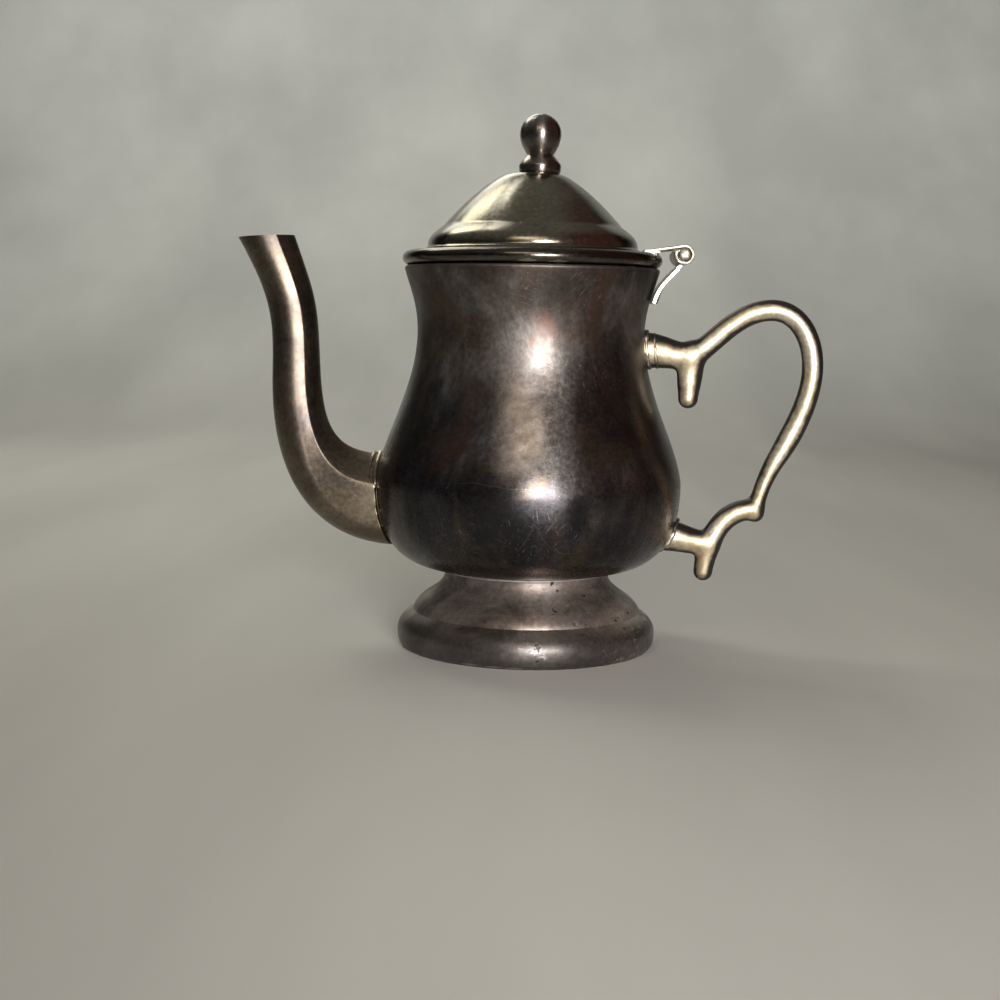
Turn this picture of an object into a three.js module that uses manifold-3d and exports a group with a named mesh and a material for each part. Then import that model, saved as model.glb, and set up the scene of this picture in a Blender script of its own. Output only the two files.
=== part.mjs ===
// Miniature silver-plated teapot on a pedestal foot.
// Millimetres, +Z up, origin under the foot on the pot's axis, spout towards -X, handle towards +X.
import * as THREE from "three";
import { mergeVertices } from "three/addons/utils/BufferGeometryUtils.js";
import Module from "manifold-3d";

const wasm = await Module();
wasm.setup();

// Fineness of the turned and lofted surfaces
const turnSegments = 36;
const smallTurnSegments = 18;
const bodySteps = 7;
const footSteps = 5;
const lidSteps = 6;
const beadSteps = 4;
const insideSteps = 4;
const spoutSteps = 7;
const sectionSteps = 4;

// Fits
const solderGap = 0.3;
const lidSeatGap = 0.2;
const hingeGap = 0.3;
const pinClearance = 0.15;
const studClearance = 0.3;

// Foot: a spun shell, open below, with a bead round its neck and a rolled base
const footHeight = 16.4;
const footWall = 1.0;
const footNeckRadius = 16.9;
const footBeadRadius = 17.45;
const footBeadHeight = 0.7;
const footBeadDrop = 0.2;
const footNeckLength = 2.9;
const footBandRadius = 21.9;
const footBandHeight = 9.9;
const footCreaseRadius = 23.65;
const footCreaseHeight = 7.45;
const footRollRadius = 26.75;
const footRollHeight = 3.0;
const footBaseRadius = 25.6;

// Body: a spun vessel, heights measured from its bottom
const bodyWall = 1.0;
const bodySeatRadius = 17.2;
const bottomSpread = 5.0;
const bottomTurn = 15.5;
const bellyRadius = 31.35;
const bellyRise = 17.0;
const bellySwell = 7.0;
const neckRadius = 23.2;
const neckRise = 48.1;
const neckDraw = 12.0;
const neckLength = 5.0;
const lipRadius = 25.9;
const lipRise = 60.4;
const lipFlare = 1.5;
const lipDepth = 5.0;
const pourHoleRadius = 4.6;

// Spout: a cast swan neck, described by its outer and inner edges in the pot's middle plane
const spoutWall = 0.8;
const spoutRootBottom = 3.9;
const spoutRootTop = 22.8;
const spoutRootBreadth = 12.6;
const spoutOuterRun = 12.5;
const spoutInnerRun = 9.0;
const spoutColumnReach = 52.64;
const spoutColumnRise = 43.5;
const spoutColumnDepth = 9.54;
const spoutColumnBreadth = 9.0;
const spoutOuterTurn = 32.0;
const spoutOuterLean = 4.2;
const spoutInnerTurn = 17.0;
const spoutInnerDrop = 0.9;
const spoutOuterStraight = 9.0;
const spoutInnerStraight = 11.0;
const spoutReach = 59.7;
const spoutTipRise = 66.2;
const spoutMouthLength = 11.4;
const spoutMouthTilt = 0.6;
const spoutMouthBreadth = 9.6;
const spoutOuterFlare = 6.0;
const spoutOuterFlareLean = 28.8;
const spoutInnerFlare = 10.0;
const spoutInnerFlareLean = 18.8;
const spoutPanelStart = 0.11;
const spoutPanelEnd = 0.41;

// Handle: a cast scroll of two opposed curves, with spurs where they branch
const handleReach = 59.6;
const handleBarWidth = 4.3;
const handleBarBreadth = 4.4;
const handleTopRise = 55.4;
const handleTopReach = 49.0;
const handleBowRise = 41.6;
const handleBranchReach = 32.6;
const handleUpperRise = 44.8;
const handleUpperDrop = 1.2;
const handleUpperHeight = 7.2;
const handleSpurLength = 10.4;
const handleSpurWidth = 5.6;
const handleSpurTip = 3.8;
const handleWaistReach = 50.7;
const handleWaistRise = 22.85;
const handleWaistLean = 59.5;
const handleElbowReach = 46.9;
const handleElbowRise = 10.1;
const handleElbowWidth = 3.2;
const handleLowerRise = 6.8;
const handleLowerHeight = 6.4;
const handleTailReach = 36.5;
const handleTailRise = -2.4;
const handleTailWidth = 3.8;
const handleJointBreadth = 5.8;

// Lid: a spun dome with a beaded rim, heights measured from the underside of the rim
const lidWall = 0.8;
const lidRimRadius = 26.25;
const lidRimWidth = 1.65;
const lidRimHeight = 3.0;
const lidStepRadius = 21.75;
const lidStepHeight = 0.5;
const lidBandRadius = 21.2;
const lidBandRise = 0.5;
const lidKinkRadius = 18.0;
const lidKinkRise = 8.1;
const lidCrownRadius = 5.2;
const lidCrownRise = 18.55;
const bezelWall = 0.9;
const bezelDepth = 2.6;
const bezelClearance = 1.6;

// Finial: a turned acorn knob on a stud, set a little off the lid's centre towards the handle
const finialOffset = 1.2;
const finialBaseRadius = 3.95;
const finialCollarRadius = 4.3;
const finialCollarRise = 1.6;
const finialNeckRadius = 2.7;
const finialNeckRise = 3.85;
const finialKnobRadius = 4.2;
const finialKnobRise = 8.0;
const finialHeight = 12.0;
const studRadius = 1.2;
const studTail = 0.7;
const washerRadius = 3.2;
const washerThickness = 0.6;
const nutRadius = 2.8;
const nutHeight = 1.8;

// Hinge: a leaf on the lid with two outer knuckles, a bracket on the neck with the middle one
const hingeStandoff = 3.95;
const hingeRise = 2.8;
const knuckleRadius = 2.0;
const barrelLength = 12.4;
const middleKnuckleLength = 4.6;
const pinRadius = 0.95;
const pinHeadRadius = 1.3;
const pinHeadThickness = 0.35;
const strapThickness = 0.7;
const leafClearance = 0.55;
const leafSeatWidth = 2.3;
const bracketAngle = 47;
const bracketTabDrop = 9.8;
const bracketTabHeight = 3.2;

// Places that follow from the sizes above
const lipTop = lipRise + bodyWall / 2;
const lidSeat = lipTop + lidSeatGap;
const hingeReach = lidRimRadius + hingeStandoff;
const hingeInVessel = lidSeat + hingeRise;
const bezelRadius = lipRadius - bodyWall - bezelClearance;
const leafReach = lidStepRadius + leafClearance;
const pinBore = pinRadius + pinClearance;
const studHole = studRadius + studClearance;
const between = THREE.MathUtils.lerp;

// A closed solid from a three.js geometry, with coincident corners merged
function solidOf(geometry) {
  const bare = geometry.index ? geometry.toNonIndexed() : geometry.clone();
  bare.deleteAttribute("normal");
  bare.deleteAttribute("uv");
  const merged = mergeVertices(bare, 1e-4);
  const corners = merged.index.array;
  const kept = [];
  for (let i = 0; i < corners.length; i += 3) {
    const [a, b, c] = [corners[i], corners[i + 1], corners[i + 2]];
    if (a !== b && b !== c && c !== a) kept.push(a, b, c);
  }
  const vertProperties = new Float32Array(merged.attributes.position.array);
  return new wasm.Manifold(new wasm.Mesh({ numProp: 3, vertProperties, triVerts: new Uint32Array(kept) }));
}

// A three.js geometry from a solid
function geometryOf(solid) {
  const mesh = solid.getMesh();
  const geometry = new THREE.BufferGeometry();
  geometry.setAttribute("position", new THREE.BufferAttribute(new Float32Array(mesh.vertProperties), 3));
  geometry.setIndex(new THREE.BufferAttribute(new Uint32Array(mesh.triVerts), 1));
  geometry.computeVertexNormals();
  return geometry;
}

// The section in the (radius, height) plane, turned about Z
function turn(section, segments = turnSegments) {
  return solidOf(new THREE.LatheGeometry(section, segments).rotateX(Math.PI / 2));
}

// An outline moved outwards by a distance, its ends included
function offsetOutline(points, distance) {
  return points.map((point, i) => {
    const before = points[Math.max(i - 1, 0)];
    const after = points[Math.min(i + 1, points.length - 1)];
    const along = after.clone().sub(before).normalize();
    return new THREE.Vector2(point.x + along.y * distance, point.y - along.x * distance);
  });
}

// A flat shape in the XZ plane, extruded across Y and centred at the given place
function extrudeAcross(shape, width, middle = 0) {
  const geometry = new THREE.ExtrudeGeometry(shape, { depth: width, bevelEnabled: false, curveSegments: 10 });
  return solidOf(geometry.rotateX(Math.PI / 2).translate(0, middle + width / 2, 0));
}

// A round bar along Y through a point of the XZ plane
function barAcross(radius, length, x, z, middle = 0) {
  const bar = new THREE.CylinderGeometry(radius, radius, length, smallTurnSegments);
  return solidOf(bar.translate(x, middle, z));
}

// A closed loft through rings that have equal numbers of points
function loft(rings) {
  const count = rings[0].length;
  const positions = rings.flat().flatMap((p) => [p.x, p.y, p.z]);
  const index = [];
  for (let i = 0; i < rings.length - 1; i++) {
    for (let j = 0; j < count; j++) {
      const a = i * count + j;
      const b = i * count + ((j + 1) % count);
      index.push(a, b, b + count, a, b + count, a + count);
    }
  }
  const last = (rings.length - 1) * count;
  for (let j = 1; j < count - 1; j++) {
    index.push(0, j + 1, j, last, last + j, last + j + 1);
  }
  const geometry = new THREE.BufferGeometry();
  geometry.setAttribute("position", new THREE.BufferAttribute(new Float32Array(positions), 3));
  geometry.setIndex(index);
  return solidOf(geometry);
}

// A bar of oval section swept along a curve in the XZ plane, its width and breadth given along the way
function sweepBar(curve, widths, breadths, steps, roundEnd = false, sides = 12) {
  const at = (values, t) => {
    const place = t * (values.length - 1);
    const i = Math.min(Math.floor(place), values.length - 2);
    return between(values[i], values[i + 1], place - i);
  };
  const ringAt = (t, ahead, scale) => {
    const along = curve.getTangent(t);
    const centre = curve.getPoint(t).addScaledVector(along, ahead);
    return Array.from({ length: sides }, (_, j) => {
      const turned = (2 * Math.PI * j) / sides;
      const out = (at(widths, t) / 2) * scale * Math.cos(turned);
      const across = (at(breadths, t) / 2) * scale * Math.sin(turned);
      return new THREE.Vector3(centre.x + along.z * out, across, centre.z - along.x * out);
    });
  };
  const rings = Array.from({ length: steps + 1 }, (_, i) => ringAt(i / steps, 0, 1));
  if (roundEnd) {
    const endRadius = widths[widths.length - 1] / 2;
    for (const degrees of [30, 60, 85]) {
      const angle = THREE.MathUtils.degToRad(degrees);
      rings.push(ringAt(1, endRadius * Math.sin(angle), Math.cos(angle)));
    }
  }
  return loft(rings);
}

// A smooth curve in the XZ plane from cubic stretches: a start, then two handles and an end for each
function scroll(start, ...stretches) {
  const path = new THREE.CurvePath();
  const point = ([x, z]) => new THREE.Vector3(x, 0, z);
  let from = start;
  for (const [leave, arrive, to] of stretches) {
    path.add(new THREE.CubicBezierCurve3(point(from), point(leave), point(arrive), point(to)));
    from = to;
  }
  return path;
}

// Foot
const footNeckTop = footHeight - footBeadDrop - footBeadHeight;
const footOutline = new THREE.Path();
footOutline.moveTo(footBaseRadius, 0);
footOutline.bezierCurveTo(
  between(footBaseRadius, footRollRadius, 0.5), footRollHeight * 0.15,
  footRollRadius, footRollHeight * 0.4,
  footRollRadius, footRollHeight,
);
footOutline.bezierCurveTo(
  footRollRadius, between(footRollHeight, footCreaseHeight, 0.5),
  between(footCreaseRadius, footRollRadius, 0.6), between(footRollHeight, footCreaseHeight, 0.74),
  footCreaseRadius, footCreaseHeight,
);
footOutline.bezierCurveTo(
  between(footCreaseRadius, footBandRadius, 0.17), between(footCreaseHeight, footBandHeight, 0.47),
  between(footCreaseRadius, footBandRadius, 0.6), between(footCreaseHeight, footBandHeight, 0.73),
  footBandRadius, footBandHeight,
);
footOutline.bezierCurveTo(
  between(footBandRadius, footNeckRadius, 0.34), between(footBandHeight, footNeckTop, 0.25),
  footNeckRadius, footNeckTop - footNeckLength,
  footNeckRadius, footNeckTop,
);
const footSkin = footOutline.getPoints(footSteps);
const footBead = new THREE.Path();
footBead.absellipse(
  footNeckRadius, footNeckTop + footBeadHeight / 2,
  footBeadRadius - footNeckRadius, footBeadHeight / 2, -Math.PI / 2, Math.PI / 2, false, 0,
);
const footInside = offsetOutline(footOutline.getPoints(insideSteps), -footWall).reverse();
footInside[footInside.length - 1].y = 0;
const footSection = [
  ...footSkin,
  ...footBead.getPoints(beadSteps).slice(1),
  new THREE.Vector2(footNeckRadius, footHeight),
  new THREE.Vector2(footNeckRadius - footWall, footHeight),
  ...footInside,
  footSkin[0].clone(),
];
const foot = turn(footSection);

// Body
const bodyOutline = new THREE.Path();
bodyOutline.moveTo(bodySeatRadius, 0);
bodyOutline.bezierCurveTo(
  bodySeatRadius + bottomSpread, 0, bellyRadius, bellyRise - bottomTurn, bellyRadius, bellyRise,
);
bodyOutline.bezierCurveTo(
  bellyRadius, bellyRise + bellySwell, neckRadius, neckRise - neckDraw, neckRadius, neckRise,
);
bodyOutline.bezierCurveTo(
  neckRadius, neckRise + neckLength, lipRadius - lipFlare, lipRise - lipDepth, lipRadius, lipRise,
);
const bodySkin = bodyOutline.getPoints(bodySteps);
const bodyInside = offsetOutline(bodyOutline.getPoints(insideSteps), -bodyWall).reverse();

// Radius of the body's outside at a height above its bottom
function bodyRadiusAt(rise) {
  const next = Math.max(1, bodySkin.findIndex((point) => point.y >= rise));
  const [below, above] = [bodySkin[next - 1], bodySkin[next]];
  return THREE.MathUtils.mapLinear(rise, below.y, above.y, below.x, above.x);
}

// The body filled solid and grown by a distance, to trim what is soldered against it
function bodyGrown(distance) {
  const grown = offsetOutline(bodySkin, distance);
  return turn([
    new THREE.Vector2(0, grown[0].y), ...grown, new THREE.Vector2(0, grown[grown.length - 1].y),
  ]);
}
const bodyTrim = bodyGrown(solderGap);

const lipMiddle = bodySkin[bodySkin.length - 1].clone().add(bodyInside[0]).divideScalar(2);
const lipEdge = [1, 2, 3].map((quarter) => {
  const outwards = bodySkin[bodySkin.length - 1].clone().sub(lipMiddle);
  return outwards.rotateAround(new THREE.Vector2(), (quarter * Math.PI) / 4).add(lipMiddle);
});
const vessel = turn([
  new THREE.Vector2(0, 0),
  ...bodySkin,
  ...lipEdge,
  ...bodyInside,
  new THREE.Vector2(0, bodyWall),
]);
const pourHole = solidOf(
  new THREE.CylinderGeometry(pourHoleRadius, pourHoleRadius, bellyRadius, smallTurnSegments)
    .rotateZ(Math.PI / 2)
    .translate(-bellyRadius, 0, (spoutRootBottom + spoutRootTop) / 2),
);
const body = vessel.subtract(pourHole);

// Spout: two edges, each bending up from the body into the column and then flaring to the mouth
const sideways = (length, degrees) => length * Math.tan(THREE.MathUtils.degToRad(degrees));
function edgeOf(root, run, column, turnLength, lean, straight, mouth, flare, flareLean) {
  return scroll(
    root,
    [[root[0] + run, root[1]], [column[0] + sideways(turnLength, lean), column[1] - turnLength], column],
    [
      [column[0] - sideways(straight, lean), column[1] + straight],
      [mouth[0] - sideways(flare, flareLean), mouth[1] - flare],
      mouth,
    ],
  );
}
const spoutOuterEdge = edgeOf(
  [bodyRadiusAt(spoutRootBottom) - spoutWall, spoutRootBottom], spoutOuterRun,
  [spoutColumnReach, spoutColumnRise], spoutOuterTurn, spoutOuterLean, spoutOuterStraight,
  [spoutReach, spoutTipRise], spoutOuterFlare, spoutOuterFlareLean,
);
const spoutInnerEdge = edgeOf(
  [bodyRadiusAt(spoutRootTop) - spoutWall, spoutRootTop], spoutInnerRun,
  [spoutColumnReach - spoutColumnDepth, spoutColumnRise - spoutInnerDrop],
  spoutInnerTurn, 0, spoutInnerStraight,
  [spoutReach - spoutMouthLength, spoutTipRise + spoutMouthTilt], spoutInnerFlare, spoutInnerFlareLean,
);

// A section of the spout, scaled to one each way: hollowed back, ridge, flat side and rounded belly
function mouldedSection(back, ridge, side, bellyStart, bellyEnd) {
  const half = new THREE.Path();
  half.moveTo(1, 0);
  half.quadraticCurveTo(...back, ...ridge);
  half.lineTo(...side);
  half.bezierCurveTo(...bellyStart, ...bellyEnd, -1, 0);
  const points = half.getPoints(sectionSteps);
  return [...points, ...points.slice(1, -1).reverse().map((point) => new THREE.Vector2(point.x, -point.y))];
}
const panelSection = mouldedSection([0.95, 0.34], [0.36, 1], [-0.5, 0.97], [-0.8, 0.95], [-1, 0.6]);
const columnSection = mouldedSection([0.96, 0.42], [0.47, 0.92], [-0.02, 1.01], [-0.45, 1.08], [-1, 0.62]);

// A ring of the spout at a place along its edges, drawn in by a wall
function spoutRing(t, wall) {
  const half = Math.min(t, 0.5) * 2;
  const rest = Math.max(t - 0.5, 0) * 2;
  const outer = spoutOuterEdge.curves[t < 0.5 ? 0 : 1].getPoint(t < 0.5 ? half : rest);
  const inner = spoutInnerEdge.curves[t < 0.5 ? 0 : 1].getPoint(t < 0.5 ? half : rest);
  const middle = outer.clone().add(inner).divideScalar(2);
  const reach = inner.clone().sub(outer).divideScalar(2);
  reach.setLength(reach.length() - wall);
  const lower = between(spoutRootBreadth, spoutColumnBreadth, THREE.MathUtils.smoothstep(half, 0, 1));
  const breadth = between(lower, spoutMouthBreadth, THREE.MathUtils.smoothstep(rest, 0, 1));
  const drawn = THREE.MathUtils.smoothstep(t, spoutPanelStart, spoutPanelEnd);
  return panelSection.map((point, i) => {
    const along = between(point.x, columnSection[i].x, drawn);
    const across = between(point.y, columnSection[i].y, drawn) * (breadth / 2 - wall);
    return new THREE.Vector3(-(middle.x + reach.x * along), across, middle.z + reach.z * along);
  });
}

// Rings on along the last direction, so that a bore runs out past its end
function runOn(rings, distance) {
  const [before, end] = rings.slice(-2);
  const step = end[0].clone().sub(before[0]).setLength(distance);
  return [...rings, end.map((point) => point.clone().add(step))];
}
const spoutPlaces = Array.from({ length: 2 * spoutSteps + 3 }, (_, i) => i / (2 * spoutSteps + 2));
const spoutOutside = loft(spoutPlaces.map((t) => spoutRing(t, 0)));
const spoutBore = loft(runOn(spoutPlaces.map((t) => spoutRing(t, spoutWall)), 2 * spoutWall));
const spout = spoutOutside.subtract(spoutBore).subtract(bodyTrim);

// Handle
const handleBow = handleReach - handleBarWidth / 2;
const handleTop = handleTopRise - handleBarWidth / 2;
const upperBranch = [handleBranchReach, handleUpperRise - handleUpperDrop];
const waistLean = THREE.MathUtils.degToRad(handleWaistLean);
const alongWaist = (distance) => [
  handleWaistReach + distance * Math.cos(waistLean), handleWaistRise + distance * Math.sin(waistLean),
];
const elbowEnd = handleElbowRise + handleElbowWidth / 2;
const upperScroll = scroll(
  upperBranch,
  [
    [handleBranchReach + 4.9, upperBranch[1] + 2.5],
    [handleTopReach - 7.5, handleTop],
    [handleTopReach, handleTop],
  ],
  [[handleTopReach + 5.0, handleTop], [handleBow, handleBowRise + 6.5], [handleBow, handleBowRise]],
  [[handleBow, handleBowRise - 7.0], alongWaist(5.0), alongWaist(0)],
  [alongWaist(-3.0), [handleElbowReach + 0.3, elbowEnd + 4.0], [handleElbowReach, elbowEnd]],
);
const lowerScroll = scroll(
  [handleElbowReach - 0.7, elbowEnd + 0.9],
  [
    [handleElbowReach - 4.7, elbowEnd + 0.6],
    [handleTailReach + 1.2, handleTailRise + 12.4],
    [handleTailReach, handleTailRise + handleTailWidth / 2],
  ],
);
const upperStub = scroll(
  [bodyRadiusAt(handleUpperRise) - bodyWall, handleUpperRise],
  [[handleBranchReach - 6, handleUpperRise], [handleBranchReach - 3, upperBranch[1]], upperBranch],
);
const lowerStub = scroll(
  [bodyRadiusAt(handleLowerRise) - bodyWall, handleLowerRise],
  [
    [handleTailReach - 6, handleLowerRise],
    [handleTailReach - 3, handleLowerRise - 1.2],
    [handleTailReach + 0.7, handleLowerRise - 1.5],
  ],
);
const dropSpur = scroll(
  [handleBranchReach + 0.2, upperBranch[1] + 1.6],
  [
    [handleBranchReach + 0.1, upperBranch[1] - 2],
    [handleBranchReach - 0.2, upperBranch[1] - handleSpurLength + 5],
    [handleBranchReach - 0.25, upperBranch[1] - handleSpurLength + handleSpurTip / 2],
  ],
);
const bar = handleBarWidth;
const breadth = handleBarBreadth;
const spur = handleSpurWidth;
const handle = [
  sweepBar(
    upperScroll,
    [
      bar * 1.07, bar * 1.02, bar * 1.01, bar, bar, bar, bar,
      bar * 0.99, bar * 1.03, bar * 1.07, bar * 0.89, bar * 0.75, handleElbowWidth,
    ],
    [breadth, breadth, breadth, breadth, breadth, breadth * 0.9, handleElbowWidth], 24, true,
  ),
  sweepBar(
    lowerScroll,
    [bar * 0.98, bar * 1.07, bar * 1.05, bar * 1.02, bar * 1.07, bar * 1.01, handleTailWidth],
    [breadth * 0.9, breadth, breadth, breadth, breadth, breadth * 0.95, handleTailWidth], 12, true,
  ),
  sweepBar(
    upperStub,
    [handleUpperHeight, handleUpperHeight * 0.98, bar * 1.47, bar * 1.26, bar * 1.16],
    [handleJointBreadth, handleJointBreadth, breadth * 1.14, breadth * 1.05, breadth], 6,
  ),
  sweepBar(
    lowerStub,
    [handleLowerHeight, handleLowerHeight * 0.94, bar * 1.33, bar * 1.16, bar * 1.05],
    [handleJointBreadth, handleJointBreadth, breadth * 1.1, breadth * 1.02, breadth], 6,
  ),
  sweepBar(
    dropSpur,
    [spur * 0.82, spur, spur, spur * 0.82, handleSpurTip],
    [breadth * 0.9, breadth, breadth, breadth * 0.95, handleSpurTip * 0.95], 8, true,
  ),
].reduce((whole, piece) => whole.add(piece)).subtract(bodyTrim);

// Bracket of the hinge: a tab that hugs the neck, a strap up to the barrel and the middle knuckle
const bracketStart = hingeInVessel - bracketTabDrop;
const tabInside = offsetOutline(bodySkin, solderGap);
const tabOutside = offsetOutline(bodySkin, solderGap + strapThickness);
const tabShell = turn([
  ...tabOutside, ...tabInside.slice().reverse(), tabOutside[0].clone(),
]);
const tabWindow = solidOf(
  new THREE.BoxGeometry(lipRadius, barrelLength, bracketTabHeight)
    .translate(lipRadius, 0, bracketStart + bracketTabHeight / 2),
);
const bracketTurn = THREE.MathUtils.degToRad(bracketAngle);
const slope = new THREE.Vector2(-Math.cos(bracketTurn), -Math.sin(bracketTurn));
const below = new THREE.Vector2(-slope.y, slope.x);
const barrelCentre = new THREE.Vector2(hingeReach, hingeInVessel);
const strapLength = (hingeReach - bodyRadiusAt(bracketStart + bracketTabHeight)) / -slope.x + knuckleRadius;
const strapCorner = (along, out) =>
  barrelCentre.clone().addScaledVector(slope, along).addScaledVector(below, out);
const bracketStrap = extrudeAcross(
  new THREE.Shape([
    strapCorner(0, knuckleRadius - strapThickness), strapCorner(0, knuckleRadius),
    strapCorner(strapLength, knuckleRadius), strapCorner(strapLength, knuckleRadius - strapThickness),
  ]),
  barrelLength,
);
const outerKnuckleLength = (barrelLength - middleKnuckleLength - 2 * hingeGap) / 2;
const outerKnuckleMiddle = (barrelLength - outerKnuckleLength) / 2;
const sweptByLeaf = (z, side) => barAcross(
  knuckleRadius + hingeGap, outerKnuckleLength + 2 * hingeGap, hingeReach, z, side * outerKnuckleMiddle,
);
const bracket = tabShell
  .intersect(tabWindow)
  .add(bracketStrap)
  .subtract(bodyTrim)
  .subtract(sweptByLeaf(hingeInVessel, -1))
  .subtract(sweptByLeaf(hingeInVessel, 1))
  .add(barAcross(knuckleRadius, middleKnuckleLength, hingeReach, hingeInVessel))
  .subtract(barAcross(pinBore, barrelLength, hingeReach, hingeInVessel));

// Leaf of the hinge: a strap on the lid's flange that runs up over the barrel into the two outer knuckles
const leafStrap = extrudeAcross(
  new THREE.Shape([
    new THREE.Vector2(leafReach, lidRimHeight),
    new THREE.Vector2(leafReach + leafSeatWidth, lidRimHeight),
    new THREE.Vector2(hingeReach, hingeRise + knuckleRadius - strapThickness),
    new THREE.Vector2(hingeReach, hingeRise + knuckleRadius),
    new THREE.Vector2(leafReach, lidRimHeight + strapThickness),
  ]),
  barrelLength,
);
const leaf = leafStrap
  .subtract(barAcross(knuckleRadius + hingeGap, middleKnuckleLength + 2 * hingeGap, hingeReach, hingeRise))
  .add(barAcross(knuckleRadius, outerKnuckleLength, hingeReach, hingeRise, -outerKnuckleMiddle))
  .add(barAcross(knuckleRadius, outerKnuckleLength, hingeReach, hingeRise, outerKnuckleMiddle))
  .subtract(barAcross(pinBore, 2 * barrelLength, hingeReach, hingeRise));

// Pin of the hinge, peened over at both ends
const pinHead = (side) => barAcross(
  pinHeadRadius, pinHeadThickness, hingeReach, hingeRise, (side * (barrelLength + pinHeadThickness)) / 2,
);
const pinShank = barAcross(pinRadius, barrelLength + pinHeadThickness, hingeReach, hingeRise);
const pin = pinShank.add(pinHead(-1)).add(pinHead(1));

// Lid
const lidBandStart = lidRimHeight + lidStepHeight + lidBandRise;
const lidDomeOutline = new THREE.Path();
lidDomeOutline.moveTo(lidBandRadius, lidBandStart);
lidDomeOutline.bezierCurveTo(
  lidBandRadius, between(lidBandStart, lidKinkRise, 0.4),
  between(lidBandRadius, lidKinkRadius, 0.32), between(lidBandStart, lidKinkRise, 0.63),
  lidKinkRadius, lidKinkRise,
);
lidDomeOutline.bezierCurveTo(
  between(lidKinkRadius, lidCrownRadius, 0.27), between(lidKinkRise, lidCrownRise, 0.4),
  between(lidKinkRadius, lidCrownRadius, 0.77), between(lidKinkRise, lidCrownRise, 0.95),
  lidCrownRadius, lidCrownRise,
);
const lidSkin = lidDomeOutline.getPoints(lidSteps);
const lidInside = offsetOutline(lidDomeOutline.getPoints(insideSteps), -lidWall).reverse();
lidInside[0].y = lidCrownRise - lidWall;
const lidRim = new THREE.Path();
lidRim.absellipse(
  lidRimRadius - lidRimWidth, lidRimHeight / 2,
  lidRimWidth, lidRimHeight / 2, -Math.PI / 2, Math.PI / 2, false, 0,
);
const rimInside = bezelRadius + solderGap;
const flangeUnderside = lidRimHeight - lidWall;
const lidSection = [
  new THREE.Vector2(0, lidCrownRise - lidWall),
  ...lidInside,
  new THREE.Vector2(lidBandRadius - lidWall, flangeUnderside),
  new THREE.Vector2(rimInside, flangeUnderside),
  new THREE.Vector2(rimInside, 0),
  ...lidRim.getPoints(beadSteps),
  new THREE.Vector2(lidStepRadius, lidRimHeight),
  new THREE.Vector2(lidStepRadius, lidRimHeight + lidStepHeight),
  ...lidSkin,
  new THREE.Vector2(0, lidCrownRise),
];
const studWay = solidOf(
  new THREE.CylinderGeometry(studHole, studHole, lidCrownRise, smallTurnSegments)
    .rotateX(Math.PI / 2)
    .translate(finialOffset, 0, lidCrownRise),
);
const lid = turn(lidSection).subtract(studWay);

// Bezel: the ring under the lid that finds the mouth
const bezel = turn([
  new THREE.Vector2(bezelRadius - bezelWall, -bezelDepth),
  new THREE.Vector2(bezelRadius, -bezelDepth),
  new THREE.Vector2(bezelRadius, flangeUnderside),
  new THREE.Vector2(bezelRadius - bezelWall, flangeUnderside),
  new THREE.Vector2(bezelRadius - bezelWall, -bezelDepth),
]);

// Finial with its stud, and the washer and nut that hold it
const studLength = lidWall + washerThickness + nutHeight + studTail;
const finialOutline = new THREE.Path();
finialOutline.moveTo(finialBaseRadius, 0);
finialOutline.quadraticCurveTo(
  finialCollarRadius, finialCollarRise * 0.3,
  finialCollarRadius, finialCollarRise,
);
finialOutline.bezierCurveTo(
  between(finialCollarRadius, finialNeckRadius, 0.06), between(finialCollarRise, finialNeckRise, 0.31),
  between(finialCollarRadius, finialNeckRadius, 0.75), between(finialCollarRise, finialNeckRise, 0.75),
  finialNeckRadius, finialNeckRise,
);
finialOutline.bezierCurveTo(
  between(finialNeckRadius, finialKnobRadius, 0.43), between(finialNeckRise, finialKnobRise, 0.25),
  finialKnobRadius, between(finialNeckRise, finialKnobRise, 0.57),
  finialKnobRadius, finialKnobRise,
);
finialOutline.bezierCurveTo(
  finialKnobRadius, between(finialKnobRise, finialHeight, 0.55),
  finialKnobRadius * 0.55, finialHeight,
  0, finialHeight,
);
const finial = turn(
  [
    new THREE.Vector2(0, -studLength),
    new THREE.Vector2(studRadius, -studLength),
    new THREE.Vector2(studRadius, 0),
    ...finialOutline.getPoints(5),
  ],
  smallTurnSegments,
);
const washer = turn(
  [
    new THREE.Vector2(studHole, 0),
    new THREE.Vector2(washerRadius, 0),
    new THREE.Vector2(washerRadius, washerThickness),
    new THREE.Vector2(studHole, washerThickness),
    new THREE.Vector2(studHole, 0),
  ],
  smallTurnSegments,
);
const nutBore = solidOf(
  new THREE.CylinderGeometry(studHole, studHole, 2 * nutHeight, smallTurnSegments).rotateX(Math.PI / 2),
);
const nutBlank = new THREE.CylinderGeometry(nutRadius, nutRadius, nutHeight, 6);
const nut = solidOf(nutBlank.rotateX(Math.PI / 2).translate(0, 0, nutHeight / 2)).subtract(nutBore);

// Silver plate, tarnished unevenly from piece to piece
const plate = (color, roughness) => new THREE.MeshStandardMaterial({ color, roughness, metalness: 1 });
const darkPlate = plate(0x4a4541, 0.3);
const warmPlate = plate(0x8f8a74, 0.28);
const dullPlate = plate(0x6a625b, 0.42);
const brightPlate = plate(0xb9b29c, 0.25);

// Scene graph
function piece(name, solid, material) {
  const mesh = new THREE.Mesh(geometryOf(solid), material);
  mesh.name = name;
  return mesh;
}
const teapot = new THREE.Group();
teapot.add(piece("foot_pedestal", foot, dullPlate));

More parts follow.
